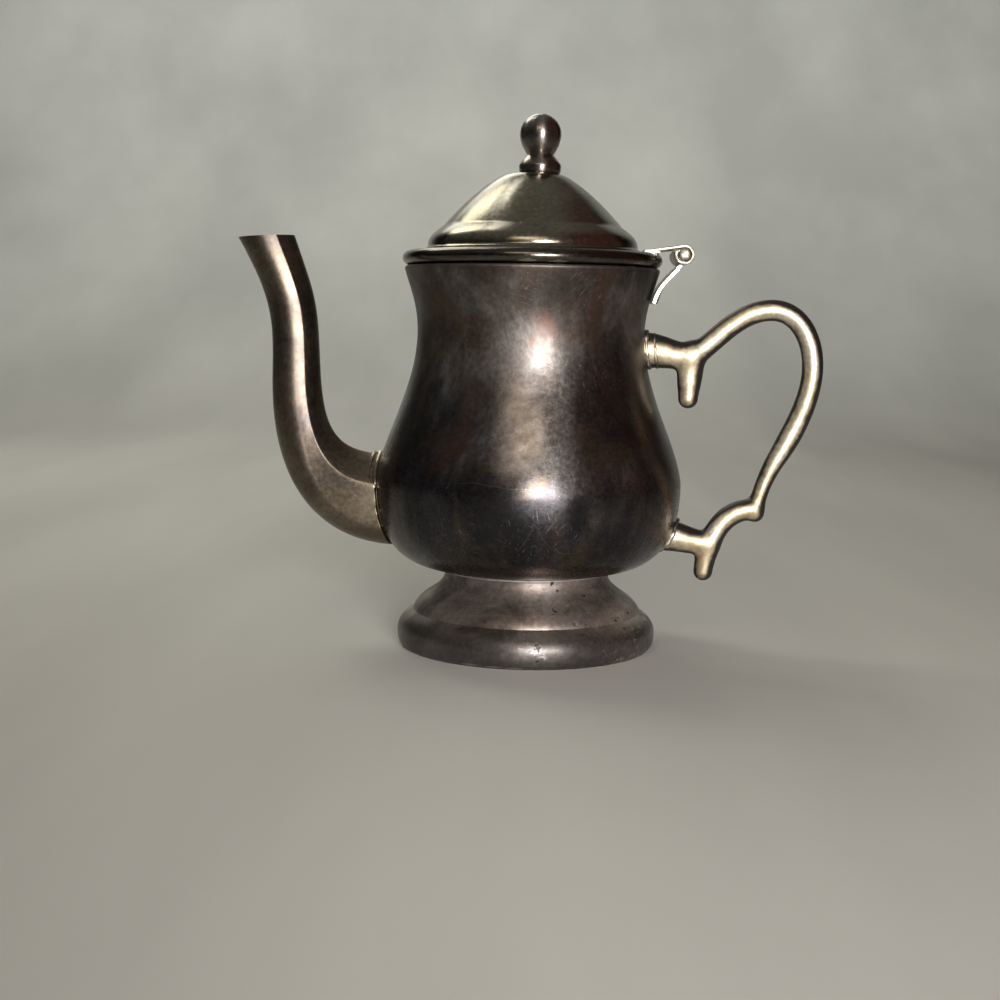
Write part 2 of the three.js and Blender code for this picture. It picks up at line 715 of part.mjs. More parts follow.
const pot = new THREE.Group();
pot.position.z = footHeight;
pot.add(piece("body_shell", body, darkPlate));
pot.add(piece("spout", spout, darkPlate));
pot.add(piece("handle", handle, brightPlate));
pot.add(piece("body_hinge_bracket", bracket, brightPlate));
teapot.add(pot);

const cover = new THREE.Group();
cover.position.z = footHeight + lidSeat;
cover.add(piece("lid_dome", lid, warmPlate));
cover.add(piece("lid_bezel", bezel, warmPlate));
cover.add(piece("lid_hinge_leaf", leaf, brightPlate));
cover.add(piece("hinge_pin", pin, brightPlate));
teapot.add(cover);

const knob = new THREE.Group();
knob.position.set(finialOffset, 0, lidCrownRise);
const finialMesh = piece("finial", finial, darkPlate);
const washerMesh = piece("finial_washer", washer, dullPlate);
washerMesh.position.z = -lidWall - washerThickness;
const nutMesh = piece("finial_nut", nut, dullPlate);
nutMesh.position.z = -lidWall - washerThickness - nutHeight;
knob.add(finialMesh, washerMesh, nutMesh);
cover.add(knob);

export default teapot;
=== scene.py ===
"""A miniature silver-plated teapot on a pale floor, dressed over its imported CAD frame."""
import math

import bmesh
import bpy
import numpy as np
from mathutils import Matrix, Vector, noise


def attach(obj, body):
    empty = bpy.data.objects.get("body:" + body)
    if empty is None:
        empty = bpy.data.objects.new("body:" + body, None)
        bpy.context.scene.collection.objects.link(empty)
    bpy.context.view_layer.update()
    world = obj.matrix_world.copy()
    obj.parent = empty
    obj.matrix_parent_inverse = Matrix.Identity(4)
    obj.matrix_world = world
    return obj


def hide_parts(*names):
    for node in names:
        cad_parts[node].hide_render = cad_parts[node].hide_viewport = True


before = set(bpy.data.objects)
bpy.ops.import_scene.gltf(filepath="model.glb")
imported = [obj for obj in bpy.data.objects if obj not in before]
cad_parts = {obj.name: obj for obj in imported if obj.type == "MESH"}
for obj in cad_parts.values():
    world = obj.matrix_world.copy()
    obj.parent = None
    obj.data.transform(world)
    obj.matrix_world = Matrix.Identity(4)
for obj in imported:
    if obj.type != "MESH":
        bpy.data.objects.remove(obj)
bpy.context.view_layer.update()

MM = 0.001

# Sizes in millimetres. Heights are above the floor, and rises above the body's bottom
FOOT_HEIGHT = 16.4
FOOT_NECK = 16.9
BODY_WALL = 1.0
LID_SEAT = 77.5
LID_CROWN = LID_SEAT + 18.55
LID_FLANGE = LID_SEAT + 2.2
LID_WALL = 0.8
BEZEL_RADII = (22.4, 23.3)
BEZEL_FOOT = LID_SEAT - 2.3
FINIAL_OFFSET = 1.2
STUD_RADIUS = 1.2
STUD_LENGTH = 3.9
POUR_HOLE_RADIUS = 4.6
POUR_HOLE_RISE = 13.35
SPOUT_WALL = 0.8
SPOUT_BREADTHS = (12.6, 9.0, 9.6)
ROOT_LOW_RISE = 3.9
ROOT_HIGH_RISE = 22.8
UPPER_ARM_RISE = 44.8
LOWER_ARM_RISE = 6.8

# Outlines in millimetres: a start, then two handles and an end for each stretch
FOOT = (
    (25.6, 0.0),
    ((26.18, 0.45), (26.75, 1.2), (26.75, 3.0)),
    ((26.75, 5.22), (25.51, 6.29), (23.65, 7.45)),
    ((23.35, 8.6), (22.6, 9.24), (21.9, 9.9)),
    ((20.2, 11.3), (16.9, 12.6), (16.9, 15.5)),
)
BODY = (
    (17.2, 0.0),
    ((22.2, 0.0), (31.35, 1.5), (31.35, 17.0)),
    ((31.35, 24.0), (23.2, 36.1), (23.2, 48.1)),
    ((23.2, 53.1), (24.4, 55.4), (25.9, 60.4)),
)
DOME = (
    (21.2, 4.0),
    ((21.2, 5.64), (20.18, 6.58), (18.0, 8.1)),
    ((14.54, 12.28), (8.14, 18.03), (5.2, 18.55)),
)
FINIAL = (
    (3.95, 0.0),
    ((4.18, 0.32), (4.3, 0.85), (4.3, 1.6)),
    ((4.2, 2.3), (3.1, 3.29), (2.7, 3.85)),
    ((3.35, 4.89), (4.2, 6.22), (4.2, 8.0)),
    ((4.2, 10.2), (2.31, 12.0), (0.0, 12.0)),
)

# The hinge's axis, its knuckles' radius, bore and lengths, its two sheets, and where the pin's heads begin
HINGE_X = 30.2
HINGE_Z = 80.3
KNUCKLE = 2.0
KNUCKLE_BORE = 1.05
BARREL = 12.4
MIDDLE = 4.6
OUTER = 3.6
LEAF = 0.6
STRAP = 0.7
PIN_HEAD = 6.22


def mix(a, b, t):
    return a + (b - a) * t


def smoothstep(t, low=0.0, high=1.0):
    t = min(max((t - low) / (high - low), 0.0), 1.0)
    return t * t * (3 - 2 * t)


def cubic(start, leave, arrive, end, t):
    s = 1 - t
    return tuple(
        s ** 3 * a + 3 * s * s * t * b + 3 * s * t * t * c + t ** 3 * d
        for a, b, c, d in zip(start, leave, arrive, end)
    )


def outline(shape, steps=24):
    """Points along an outline of cubic stretches."""
    points = [shape[0]]
    for leave, arrive, end in shape[1:]:
        start = points[-1]
        points += [cubic(start, leave, arrive, end, i / steps) for i in range(1, steps + 1)]
    return points


def inset(points, distance):
    """An outline moved inwards by a wall."""
    moved = []
    for i, (r, z) in enumerate(points):
        before = points[max(i - 1, 0)]
        after = points[min(i + 1, len(points) - 1)]
        dr, dz = after[0] - before[0], after[1] - before[1]
        length = math.hypot(dr, dz) or 1.0
        moved.append((r - dz / length * distance, z + dr / length * distance))
    return moved


def arc(centre, radii, first, last, steps):
    """Points along part of an ellipse, between two angles in degrees."""
    angles = [math.radians(mix(first, last, i / steps)) for i in range(steps + 1)]
    return [(centre[0] + radii[0] * math.cos(a), centre[1] + radii[1] * math.sin(a)) for a in angles]


def piece(name, verts, faces, sharp=32, uneven=None):
    """A closed smooth-shaded mesh from points in millimetres."""
    mesh = bpy.data.meshes.new(name)
    if uneven:
        verts = [uneven(v) for v in verts]
    mesh.from_pydata([[c * MM for c in v] for v in verts], [], faces)
    work = bmesh.new()
    work.from_mesh(mesh)
    bmesh.ops.recalc_face_normals(work, faces=work.faces)
    work.to_mesh(mesh)
    work.free()
    mesh.shade_smooth()
    mesh.set_sharp_from_angle(angle=math.radians(sharp))
    obj = bpy.data.objects.new(name, mesh)
    bpy.context.scene.collection.objects.link(obj)
    return obj


def circle(count):
    """Angles round a circle."""
    return [2 * math.pi * j / count for j in range(count)]


def turned(section, segments, centre=(0.0, 0.0)):
    """Points and faces of a closed section turned about Z."""
    verts, rings = [], []
    for r, z in section:
        first = len(verts)
        if r < 1e-6:
            verts.append((centre[0], centre[1], z))
            rings.append([first] * segments)
            continue
        for angle in circle(segments):
            verts.append((centre[0] + r * math.cos(angle), centre[1] + r * math.sin(angle), z))
        rings.append(list(range(first, first + segments)))
    faces = []
    for low, high in zip(rings, rings[1:] + rings[:1]):
        for j in range(segments):
            k = (j + 1) % segments
            corners = list(dict.fromkeys((low[j], low[k], high[k], high[j])))
            if len(corners) > 2:
                faces.append(corners)
    return verts, faces


def lofted(rings, looped=False):
    """Points and faces through rings of equal count, which close on the first ring or end in flat faces."""
    count = len(rings[0])
    verts = [p for ring in rings for p in ring]
    faces = []
    for i in range(len(rings) if looped else len(rings) - 1):
        here, there = i * count, (i + 1) % len(rings) * count
        for j in range(count):
            k = (j + 1) % count
            faces.append((here + j, here + k, there + k, there + j))
    if not looped:
        faces.append(tuple(range(count)))
        faces.append(tuple(range((len(rings) - 1) * count, len(rings) * count)))
    return verts, faces


def joined(*parts):
    """Points and faces of several parts as one list of each."""
    verts, faces = [], []
    for part_verts, part_faces in parts:
        start = len(verts)
        verts += part_verts
        faces += [tuple(i + start for i in face) for face in part_faces]
    return verts, faces


def rise_and_fall(v, size, seed):
    """Smooth noise of a size, about zero."""
    return noise.noise(Vector(v) / size + Vector((seed, 2 * seed, -seed)))


def pressed(v, size, seed):
    """The same noise as a shift that goes mostly inwards."""
    return rise_and_fall(v, size, seed) - 0.8


def pushed_out(v, shift):
    """A point moved away from the pot's axis."""
    x, y, z = v
    r = math.hypot(x, y)
    scale = (r + shift) / r
    return x * scale, y * scale, z


def applied(obj):
    """The object with its modifiers made into its mesh."""
    bpy.context.view_layer.update()
    mesh = bpy.data.meshes.new_from_object(obj.evaluated_get(bpy.context.evaluated_depsgraph_get()))
    obj.modifiers.clear()
    obj.data = mesh
    mesh.name = obj.name


# Body
body_points = outline(BODY, 30)


def body_radius(rise):
    """Radius of the body's outside at a height above its bottom."""
    for (r0, z0), (r1, z1) in zip(body_points, body_points[1:]):
        if z1 >= rise:
            return mix(r0, r1, (rise - z0) / (z1 - z0)) if z1 > z0 else r1
    return body_points[-1][0]


# Shallow dents: angle from the front towards the handle, height, width and depth
DENTS = (
    (21.5, 30.0, 4.2, 0.75), (31, 25.5, 5.0, 0.35), (4, 33.5, 6.0, 0.14), (-9, 27.0, 5.0, 0.2),
    (12, 24.5, 4.0, 0.25), (14, 36.0, 7.0, 0.14), (-40, 30.0, 7.0, 0.25), (-24, 24.0, 6.0, 0.25),
)


def spun_unevenly(v):
    """The slight unevenness and dents of thin spun metal."""
    x, y, z = v
    r = math.hypot(x, y)
    if r < 1.0:
        return v
    shift = 0.10 * pressed(v, 17.0, 3.1) + 0.025 * pressed(v, 6.0, 8.7)
    angle = math.degrees(math.atan2(x, -y))
    for place, height, width, depth in DENTS:
        away = math.hypot((angle - place) * math.pi / 180 * r, z - height) / width
        if away < 1:
            shift -= depth * (1 - away * away) ** 2
    return pushed_out(v, shift)


body_outside = [(r, z + FOOT_HEIGHT) for r, z in body_points]
body_inside = [(r, z + FOOT_HEIGHT) for r, z in reversed(inset(outline(BODY, 14), BODY_WALL))]
lip_top, lip_in = body_outside[-1], body_inside[0]
lip_mid = ((lip_top[0] + lip_in[0]) / 2, (lip_top[1] + lip_in[1]) / 2)
lip_turn = math.degrees(math.atan2(lip_top[1] - lip_mid[1], lip_top[0] - lip_mid[0]))
lip = arc(lip_mid, (BODY_WALL / 2, BODY_WALL / 2), lip_turn, lip_turn + 180, 8)[1:-1]
body = piece(
    "body_visual",
    *turned([(0.0, FOOT_HEIGHT)] + body_outside + lip + body_inside + [(0.0, FOOT_HEIGHT + BODY_WALL)], 176),
    uneven=spun_unevenly,
)
hole = piece(
    "pour_hole",
    *lofted([
        [
            (
                x,
                POUR_HOLE_RADIUS * math.cos(a),
                FOOT_HEIGHT + POUR_HOLE_RISE + POUR_HOLE_RADIUS * math.sin(a),
            )
            for a in circle(48)
        ]
        for x in (-45.0, -15.0)
    ]),
)
cut = body.modifiers.new("pour_hole", "BOOLEAN")
cut.operation = "DIFFERENCE"
cut.object = hole
cut.solver = "EXACT"
applied(body)
bpy.data.objects.remove(hole)

# Foot
foot_outside = outline(FOOT, 22)
foot_inside = list(reversed(inset(outline(FOOT, 8), BODY_WALL)))
foot_inside[-1] = (foot_inside[-1][0], 0.0)
foot_bead = arc((FOOT_NECK, 15.85), (0.62, 0.35), -90, 90, 12)


def foot_unevenly(v):
    return pushed_out(v, 0.14 * pressed(v, 11.0, 5.3) + 0.04 * pressed(v, 4.0, 1.9))


foot_top = [(FOOT_NECK, FOOT_HEIGHT), (FOOT_NECK - BODY_WALL, FOOT_HEIGHT)]
foot = piece(
    "foot_visual",
    *turned(foot_outside + foot_bead[1:] + foot_top + foot_inside, 160),
    uneven=foot_unevenly,
)

# Spout, between an outer and an inner edge in the pot's middle plane
SPOUT_OUTER = (
    (body_radius(ROOT_LOW_RISE) - SPOUT_WALL, ROOT_LOW_RISE),
    ((body_radius(ROOT_LOW_RISE) + 11.7, ROOT_LOW_RISE), (54.99, 11.5), (52.64, 43.5)),
    ((51.98, 52.5), (56.4, 60.2), (59.7, 66.2)),
)
SPOUT_INNER = (
    (body_radius(ROOT_HIGH_RISE) - SPOUT_WALL, ROOT_HIGH_RISE),
    ((body_radius(ROOT_HIGH_RISE) + 8.2, ROOT_HIGH_RISE), (43.1, 25.6), (43.1, 42.6)),
    ((43.1, 53.6), (44.9, 56.8), (48.3, 66.8)),
)


def eased_about(values, middle, reach, window):
    """Values along a line, blurred about one place so that they change there without a break."""
    half = int(3 * reach)
    bell = np.exp(-0.5 * (np.arange(-half, half + 1) / reach) ** 2)
    padded = np.pad(values, half, mode="reflect", reflect_type="odd")
    eased = np.convolve(padded, bell / bell.sum(), mode="valid")
    away = np.clip(np.abs(np.arange(len(values)) - middle) / window, 0.0, 1.0)
    return values + (eased - values) * (1 - away * away * (3 - 2 * away))


def measured(shape, steps):
    """Points along an outline, and how far along it each of them is."""
    line = np.array(outline(shape, steps))
    return line, np.concatenate(([0.0], np.cumsum(np.hypot(*np.diff(line, axis=0).T))))


def flowing_edge(edge):
    """An edge of the spout as a table to look up, its two stretches eased into each other."""
    steps = 200
    line, run = measured(edge, steps)
    even = np.linspace(0.0, run[-1], 900)
    joint, step = run[steps] / even[1], even[1]
    places = [
        eased_about(np.interp(even, run, line[:, axis]), joint, 4.0 / step, 16.0 / step) for axis in (0, 1)
    ]
    return eased_about(run, steps, 22, 90), even, places


def edge_place(table, t):
    """The place at a share of the way along an edge."""
    pace, even, places = table
    at = np.interp(t, np.linspace(0.0, 1.0, len(pace)), pace)
    return tuple(float(np.interp(at, even, values)) for values in places)


spout_outer_edge, spout_inner_edge = flowing_edge(SPOUT_OUTER), flowing_edge(SPOUT_INNER)


def quadratic(start, through, end, steps):
    """Points of a curve after its start."""
    return [
        tuple((1 - t) ** 2 * a + 2 * t * (1 - t) * b + t * t * c for a, b, c in zip(start, through, end))
        for t in (i / steps for i in range(1, steps + 1))
    ]


def eased_corner(before, corner, after, share, steps=4):
    """A small round where two sides of a section meet."""
    start = tuple(mix(c, b, share) for b, c in zip(before, corner))
    end = tuple(mix(c, a, share) for a, c in zip(after, corner))
    return [start] + quadratic(start, corner, end, steps)


def half_section(back, ridge, side, belly_start, belly_end):
    """Half of a section, from the inner edge over the ridge and the flat side to the outer edge."""
    hollow = [(1.0, 0.0)] + quadratic((1.0, 0.0), back, ridge, 14)
    round_ridge = eased_corner(hollow[-3], ridge, side, 0.14)
    flat_start = round_ridge[-1]
    crowned = (mix(flat_start[0], side[0], 0.5), mix(flat_start[1], side[1], 0.5) + 0.012)
    flat = quadratic(flat_start, crowned, side, 10)
    belly = [cubic(side, belly_start, belly_end, (-1.0, 0.0), i / 24) for i in range(1, 25)]
    return hollow[:-1] + round_ridge + flat + belly


def whole_section(*corners):
    half = half_section(*corners)
    return half + [(a, -b) for a, b in reversed(half[1:-1])]


panel_section = whole_section((0.95, 0.34), (0.36, 1.0), (-0.5, 0.97), (-0.8, 0.95), (-1.0, 0.6))
column_section = whole_section((0.96, 0.42), (0.47, 0.92), (0.13, 0.995), (-0.4, 1.1), (-1.0, 0.66))
# The ridge's place in a section, and shares of the spout's length where its root and its panel's step end
RIDGE_INDEX = 17
ROOT_END = 0.15
PANEL_STEP_END = 0.3


def spout_ring(t, wall):
    """A ring of the spout at a place along its two edges, drawn in by a wall."""
    outer, inner = edge_place(spout_outer_edge, t), edge_place(spout_inner_edge, t)
    middle = ((outer[0] + inner[0]) / 2, (outer[1] + inner[1]) / 2)
    reach = ((inner[0] - outer[0]) / 2, (inner[1] - outer[1]) / 2)
    length = math.hypot(*reach)
    reach = tuple(c * (length - wall) / length for c in reach)
    root, column, mouth = SPOUT_BREADTHS
    lower = mix(root, column, smoothstep(min(t, 0.5) * 2))
    breadth = mix(lower, mouth, smoothstep(max(t - 0.5, 0) * 2)) / 2 - wall
    soften = smoothstep(t, 0.11, 0.41)
    ring = []
    for (a, b), (c, d) in zip(panel_section, column_section):
        along, across = mix(a, c, soften), mix(b, d, soften) * breadth
        x, z = middle[0] + reach[0] * along, middle[1] + reach[1] * along
        clear = math.hypot(x, across) - body_radius(z)
        if t < PANEL_STEP_END and not wall:
            stepped = mix(0.86, 1.0, smoothstep(clear, 0.12, 0.42))
            across *= mix(stepped, 1.0, smoothstep(along, 0.22, 0.42))
        under_skin = body_radius(z) - 0.6
        if t < PANEL_STEP_END and math.hypot(x, across) < under_skin:
            x = math.sqrt(max(under_skin ** 2 - across ** 2, 1.0))
        ring.append([-x, across, z])
    return ring


def lifted(rings):
    """Rings raised from the body's bottom to the floor's zero."""
    return [[(x, y, z + FOOT_HEIGHT) for x, y, z in ring] for ring in rings]


places = [ROOT_END * i / 72 for i in range(72)] + [mix(ROOT_END, 1.0, i / 110) for i in range(111)]
outer_rings = [spout_ring(t, 0.0) for t in places]
inner_rings = [spout_ring(t, SPOUT_WALL) for t in places]
lip_ring = [[mix(a, b, 0.5) for a, b in zip(p, q)] for p, q in zip(outer_rings[-1], inner_rings[-1])]
spout_rings = outer_rings + [lip_ring] + list(reversed(inner_rings))


def solder_bead(first, last, clearance, thickness, seed):
    """A lumpy bead of solder where the back of the spout meets the body."""
    line = []
    for j in range(first, last):
        for ring in outer_rings:
            x, y, z = ring[j % len(ring)]
            if math.hypot(x, y) > body_radius(z) + clearance:
                line.append(Vector((x, y, z)))
                break
    rings = []
    for i, point in enumerate(line):
        along = (line[min(i + 1, len(line) - 1)] - line[max(i - 1, 0)]).normalized()
        out = Vector((point.x, point.y, 0)).normalized()
        side = along.cross(out).normalized()
        out = side.cross(along)
        lump = 1.0 + 0.9 * rise_and_fall(point, 1.5, seed)
        taper = math.sin(math.pi * (i + 0.5) / len(line)) ** 0.6
        radius = max(0.12, thickness * lump * taper)
        rings.append([
            tuple(point + out * (radius * 1.1 * math.cos(a)) + side * (radius * 0.7 * math.sin(a)))
            for a in circle(14)
        ])
    return lofted(lifted(rings))


spout = piece(
    "spout_visual",
    *joined(
        lofted(lifted(spout_rings), looped=True),
        solder_bead(-RIDGE_INDEX, RIDGE_INDEX + 1, 0.2, 0.62, 6.1),
        solder_bead(4 - RIDGE_INDEX, RIDGE_INDEX - 3, 1.5, 0.34, 2.7),
    ),
    sharp=40,
)

# Handle: round cast bars that flow into each other, each with its widths and breadths along the way
HANDLE_BARS = (
    (
        (
            (32.6, 43.6),
            ((37.5, 46.1), (41.5, 53.25), (49.0, 53.25)),
            ((54.0, 53.25), (57.45, 48.1), (57.45, 41.6)),
            ((57.45, 34.6), (53.24, 27.16), (50.7, 22.85)),
            ((49.18, 20.27), (47.2, 15.7), (46.9, 11.7)),
        ),
        (4.5, 4.4, 4.35, 4.3, 4.3, 4.3, 4.3, 4.25, 4.42, 4.55, 3.8, 3.2, 3.2),
        (4.4, 4.4, 4.4, 4.4, 4.4, 4.0, 3.2),
    ),
    (
        ((46.2, 12.6), ((42.2, 12.3), (37.7, 10.0), (36.5, -0.5))),
        (4.0, 4.5, 4.5, 4.4, 4.5, 4.3, 3.8),
        (4.0, 4.4, 4.4, 4.4, 4.4, 4.2, 3.8),
    ),
    (
        (
            (body_radius(UPPER_ARM_RISE) - 0.5, UPPER_ARM_RISE),
            ((26.6, UPPER_ARM_RISE), (29.6, 43.6), (32.6, 43.6)),
        ),
        (7.4, 7.0, 6.2, 5.3, 4.8),
        (6.3, 5.9, 5.0, 4.6, 4.4),
    ),
    (
        (
            (body_radius(LOWER_ARM_RISE) - 0.5, LOWER_ARM_RISE),
            ((30.5, LOWER_ARM_RISE), (33.5, 5.6), (37.2, 5.3)),
        ),
        (6.6, 6.0, 5.6, 4.9, 4.3),
        (6.2, 5.8, 4.9, 4.5, 4.3),
    ),
    (
        ((32.8, 44.4), ((32.7, 41.6), (32.4, 38.2), (32.35, 35.1))),
        (4.4, 5.3, 5.4, 4.6, 3.8),
        (4.0, 4.4, 4.4, 4.2, 3.7),
    ),
)
# How far the bars flow into each other, and the step between stations along a bar
FLOW = 0.5
STATION = 0.5


def bar_stations(shape, widths, breadths):
    """Even stations along a bar: places, half widths, and how much narrower than deep it is."""
    line, run = measured(shape, 40)
    count = max(12, int(run[-1] / STATION))
    along = np.linspace(0.0, run[-1], count)
    places = np.column_stack([np.interp(along, run, line[:, axis]) for axis in (0, 1)])
    share = along / run[-1]

    def eased(values):
        plain = np.interp(share, np.linspace(0, 1, len(values)), values)
        padded = np.pad(plain, 4, mode="edge")
        return np.convolve(padded, np.ones(9) / 9, mode="valid")

    half = eased(widths) / 2
    return places, half, half / (eased(breadths) / 2)


def swept(places, half, ratio, sides=24):
    """A bar of oval section through its stations, with domed ends."""
    ways = np.gradient(places, axis=0)
    ways /= np.hypot(*ways.T)[:, None]
    ends = [(math.sin(math.radians(a)), math.cos(math.radians(a))) for a in (25, 50, 70, 84)]
    stations = [(0, -ahead * half[0], size) for ahead, size in reversed(ends)]
    stations += [(i, 0.0, 1.0) for i in range(len(places))]
    stations += [(len(places) - 1, ahead * half[-1], size) for ahead, size in ends]
    rings = []
    for i, ahead, size in stations:
        (x, z), (dx, dz) = places[i] + ways[i] * ahead, ways[i]
        rings.append([
            (
                x + dz * half[i] * size * math.cos(a),
                half[i] / ratio[i] * size * math.sin(a),
                z - dx * half[i] * size * math.cos(a) + FOOT_HEIGHT,
            )
            for a in circle(sides)
        ])
    return lofted(rings)


def nearness(points, places, half, ratio):
    """Distance of points from a bar's skin, and the way out of it."""
    best = np.full(len(points), np.inf)
    out = np.zeros_like(points)
    for i in range(len(places) - 1):
        start, way = places[i], places[i + 1] - places[i]
        share = ((points[:, 0] - start[0]) * way[0] + (points[:, 2] - start[1]) * way[1]) / (way @ way)
        share = np.clip(share, 0.0, 1.0)
        across = points[:, 1] * mix(ratio[i], ratio[i + 1], share)
        from_x = points[:, 0] - start[0] - way[0] * share
        from_z = points[:, 2] - start[1] - way[1] * share
        away = np.sqrt(from_x ** 2 + across ** 2 + from_z ** 2)
        distance = away - mix(half[i], half[i + 1], share)
        closer = distance < best
        best = np.where(closer, distance, best)
        step = np.column_stack((from_x, across, from_z)) / np.maximum(away, 1e-6)[:, None]
        out = np.where(closer[:, None], step, out)
    return best, out


def drawn_to_flow(points, bars):
    """Points moved on to the skin of bars that flow into each other."""
    points = points.copy()
    for _ in range(5):
        found = [nearness(points, *bar) for bar in bars]
        weights = np.array([np.exp(-distance / FLOW) for distance, _ in found])
        total = weights.sum(axis=0)
        way = sum(weight[:, None] * out for weight, (_, out) in zip(weights, found)) / total[:, None]
        way /= np.maximum(np.linalg.norm(way, axis=1), 0.3)[:, None]
        points += way * (FLOW * np.log(total))[:, None]
    return points


handle_bars = [bar_stations(*bar) for bar in HANDLE_BARS]
handle = piece("handle_visual", *joined(*(swept(*bar) for bar in handle_bars)))
fuse = handle.modifiers.new("fuse", "REMESH")
fuse.mode = "VOXEL"
fuse.voxel_size = 0.22 * MM
applied(handle)
for smoothing in (8, 2):
    ease = handle.modifiers.new("ease", "SMOOTH")
    ease.factor = 0.5
    ease.iterations = smoothing
    applied(handle)
    co = np.empty(len(handle.data.vertices) * 3)
    handle.data.vertices.foreach_get("co", co)
    placed = co.reshape(-1, 3) / MM - (0, 0, FOOT_HEIGHT)
    placed = (drawn_to_flow(placed, handle_bars) + (0, 0, FOOT_HEIGHT)) * MM
    handle.data.vertices.foreach_set("co", placed.ravel())
    handle.data.update()


def solder_ring(height, half_height, half_breadth, clearance, thickness, seed):
    """A lumpy ring of solder round an arm of the handle, where it meets the body."""
    rings = []
    for a in circle(64):
        y, z = half_breadth * math.sin(a), height + half_height * math.cos(a)
        x = math.sqrt((body_radius(z) + clearance) ** 2 - y ** 2)
        outward = Vector((0.0, math.sin(a) / half_breadth, math.cos(a) / half_height)).normalized()
        radius = thickness * max(0.4, 0.5 + 0.9 * rise_and_fall((x, y, z), 1.4, seed))
        rings.append([
            (
                x + radius * 1.3 * math.cos(b),
                y + outward.y * radius * math.sin(b),
                z + outward.z * radius * math.sin(b),
            )
            for b in circle(12)
        ])
    return lofted(lifted(rings), looped=True)


shaped = bmesh.new()
shaped.from_mesh(handle.data)
for ring_verts, ring_faces in (
    solder_ring(UPPER_ARM_RISE, 3.75, 3.2, 0.25, 0.5, 4.4),
    solder_ring(UPPER_ARM_RISE - 0.1, 3.5, 2.95, 1.9, 0.3, 9.2),
    solder_ring(LOWER_ARM_RISE, 3.35, 3.15, 0.25, 0.5, 1.9),
):
    corners = [shaped.verts.new([c * MM for c in v]) for v in ring_verts]
    for face in ring_faces:
        shaped.faces.new([corners[i] for i in face])
bmesh.ops.recalc_face_normals(shaped, faces=shaped.faces)
shaped.to_mesh(handle.data)
shaped.free()
handle.data.shade_smooth()

# Lid
dome = [(r, z + LID_SEAT) for r, z in outline(DOME, 30)]
dome_inside = [(r, z + LID_SEAT) for r, z in reversed(inset(outline(DOME, 14), LID_WALL))]
dome_inside[0] = (dome_inside[0][0], LID_CROWN - LID_WALL)
lid_section = [(0.0, LID_CROWN - LID_WALL)] + dome_inside
lid_section += [(20.4, LID_FLANGE), (23.6, LID_FLANGE), (23.6, LID_SEAT)]
lid_section += arc((24.6, LID_SEAT + 1.5), (1.65, 1.5), -90, 90, 24)
lid_section += [(22.3, LID_SEAT + 3.0), (21.95, LID_SEAT + 3.06), (21.78, LID_SEAT + 3.25)]
lid_section += [(21.72, LID_SEAT + 3.42), (21.5, LID_SEAT + 3.6), (21.28, LID_SEAT + 3.8)]
lid_section += dome + [(0.0, LID_CROWN)]


def lid_unevenly(v):
    """Unevenness of the dome, none at its rim and under the finial."""
    r = math.hypot(v[0], v[1])
    if r < 6.0 or r > 21.0:
        return v
    free = smoothstep(r, 6.0, 9.0) * (1 - smoothstep(r, 19.5, 21.0))
    return pushed_out(v, 0.07 * pressed(v, 10.0, 2.2) * free)


lid = piece("lid_visual", *turned(lid_section, 168), uneven=lid_unevenly)
bezel_in, bezel_out = BEZEL_RADII
bezel_section = [(bezel_out, BEZEL_FOOT), (bezel_out, LID_FLANGE)]
bezel_section += [(bezel_in, LID_FLANGE), (bezel_in, BEZEL_FOOT)]
bezel_section += arc(((bezel_in + bezel_out) / 2, BEZEL_FOOT), (0.45, 0.3), 180, 360, 12)[1:-1]
bezel = piece("bezel_visual", *turned(bezel_section, 168))

# Finial, set a little towards the handle
stud_foot = LID_CROWN - STUD_LENGTH
finial_section = [(0.0, stud_foot), (STUD_RADIUS, stud_foot), (STUD_RADIUS, LID_CROWN)]
finial_section += [(r, z + LID_CROWN) for r, z in outline(FINIAL, 14)]
finial = piece("finial_visual", *turned(finial_section, 72, centre=(FINIAL_OFFSET, 0.0)), sharp=50)


# Hinge
def about_hinge(r, y, sides):
    """A ring about the hinge's axis."""
    return [(HINGE_X + r * math.cos(a), y, HINGE_Z + r * math.sin(a)) for a in circle(sides)]


def knuckle(low, high):
    """A tube along the hinge's axis with eased ends."""
    profile = [
        (KNUCKLE_BORE, low), (KNUCKLE - 0.18, low), (KNUCKLE - 0.05, low + 0.05), (KNUCKLE, low + 0.2),
        (KNUCKLE, high - 0.2), (KNUCKLE - 0.05, high - 0.05), (KNUCKLE - 0.18, high), (KNUCKLE_BORE, high),
    ]
    return lofted([about_hinge(r, y, 48) for r, y in profile], looped=True)


def strip(points, thickness, inset_by=0.0):
    """A sheet of even thickness below a line of points in the XZ plane, as a closed outline."""
    over, under = [], []
    for i, (x, z) in enumerate(points):
        before = points[max(i - 1, 0)]
        after = points[min(i + 1, len(points) - 1)]
        dx, dz = after[0] - before[0], after[1] - before[1]
        length = math.hypot(dx, dz)
        for line, depth in ((over, inset_by), (under, thickness - inset_by)):
            line.append((x + dz / length * depth, z - dx / length * depth))
    return over + list(reversed(under))


def sheet_across(points, thickness, low, high, ease=0.12):
    """A bent sheet of metal run across Y, its side edges eased."""
    stations = [(low, 0.0), (high, 0.0)]
    if ease:
        stations = [(low, ease), (low + ease * 0.3, ease * 0.3), (low + ease, 0.0)]
        stations += [(high - ease, 0.0), (high - ease * 0.3, ease * 0.3), (high, ease)]
    return lofted([[(x, y, z) for x, z in strip(points, thickness, by)] for y, by in stations])


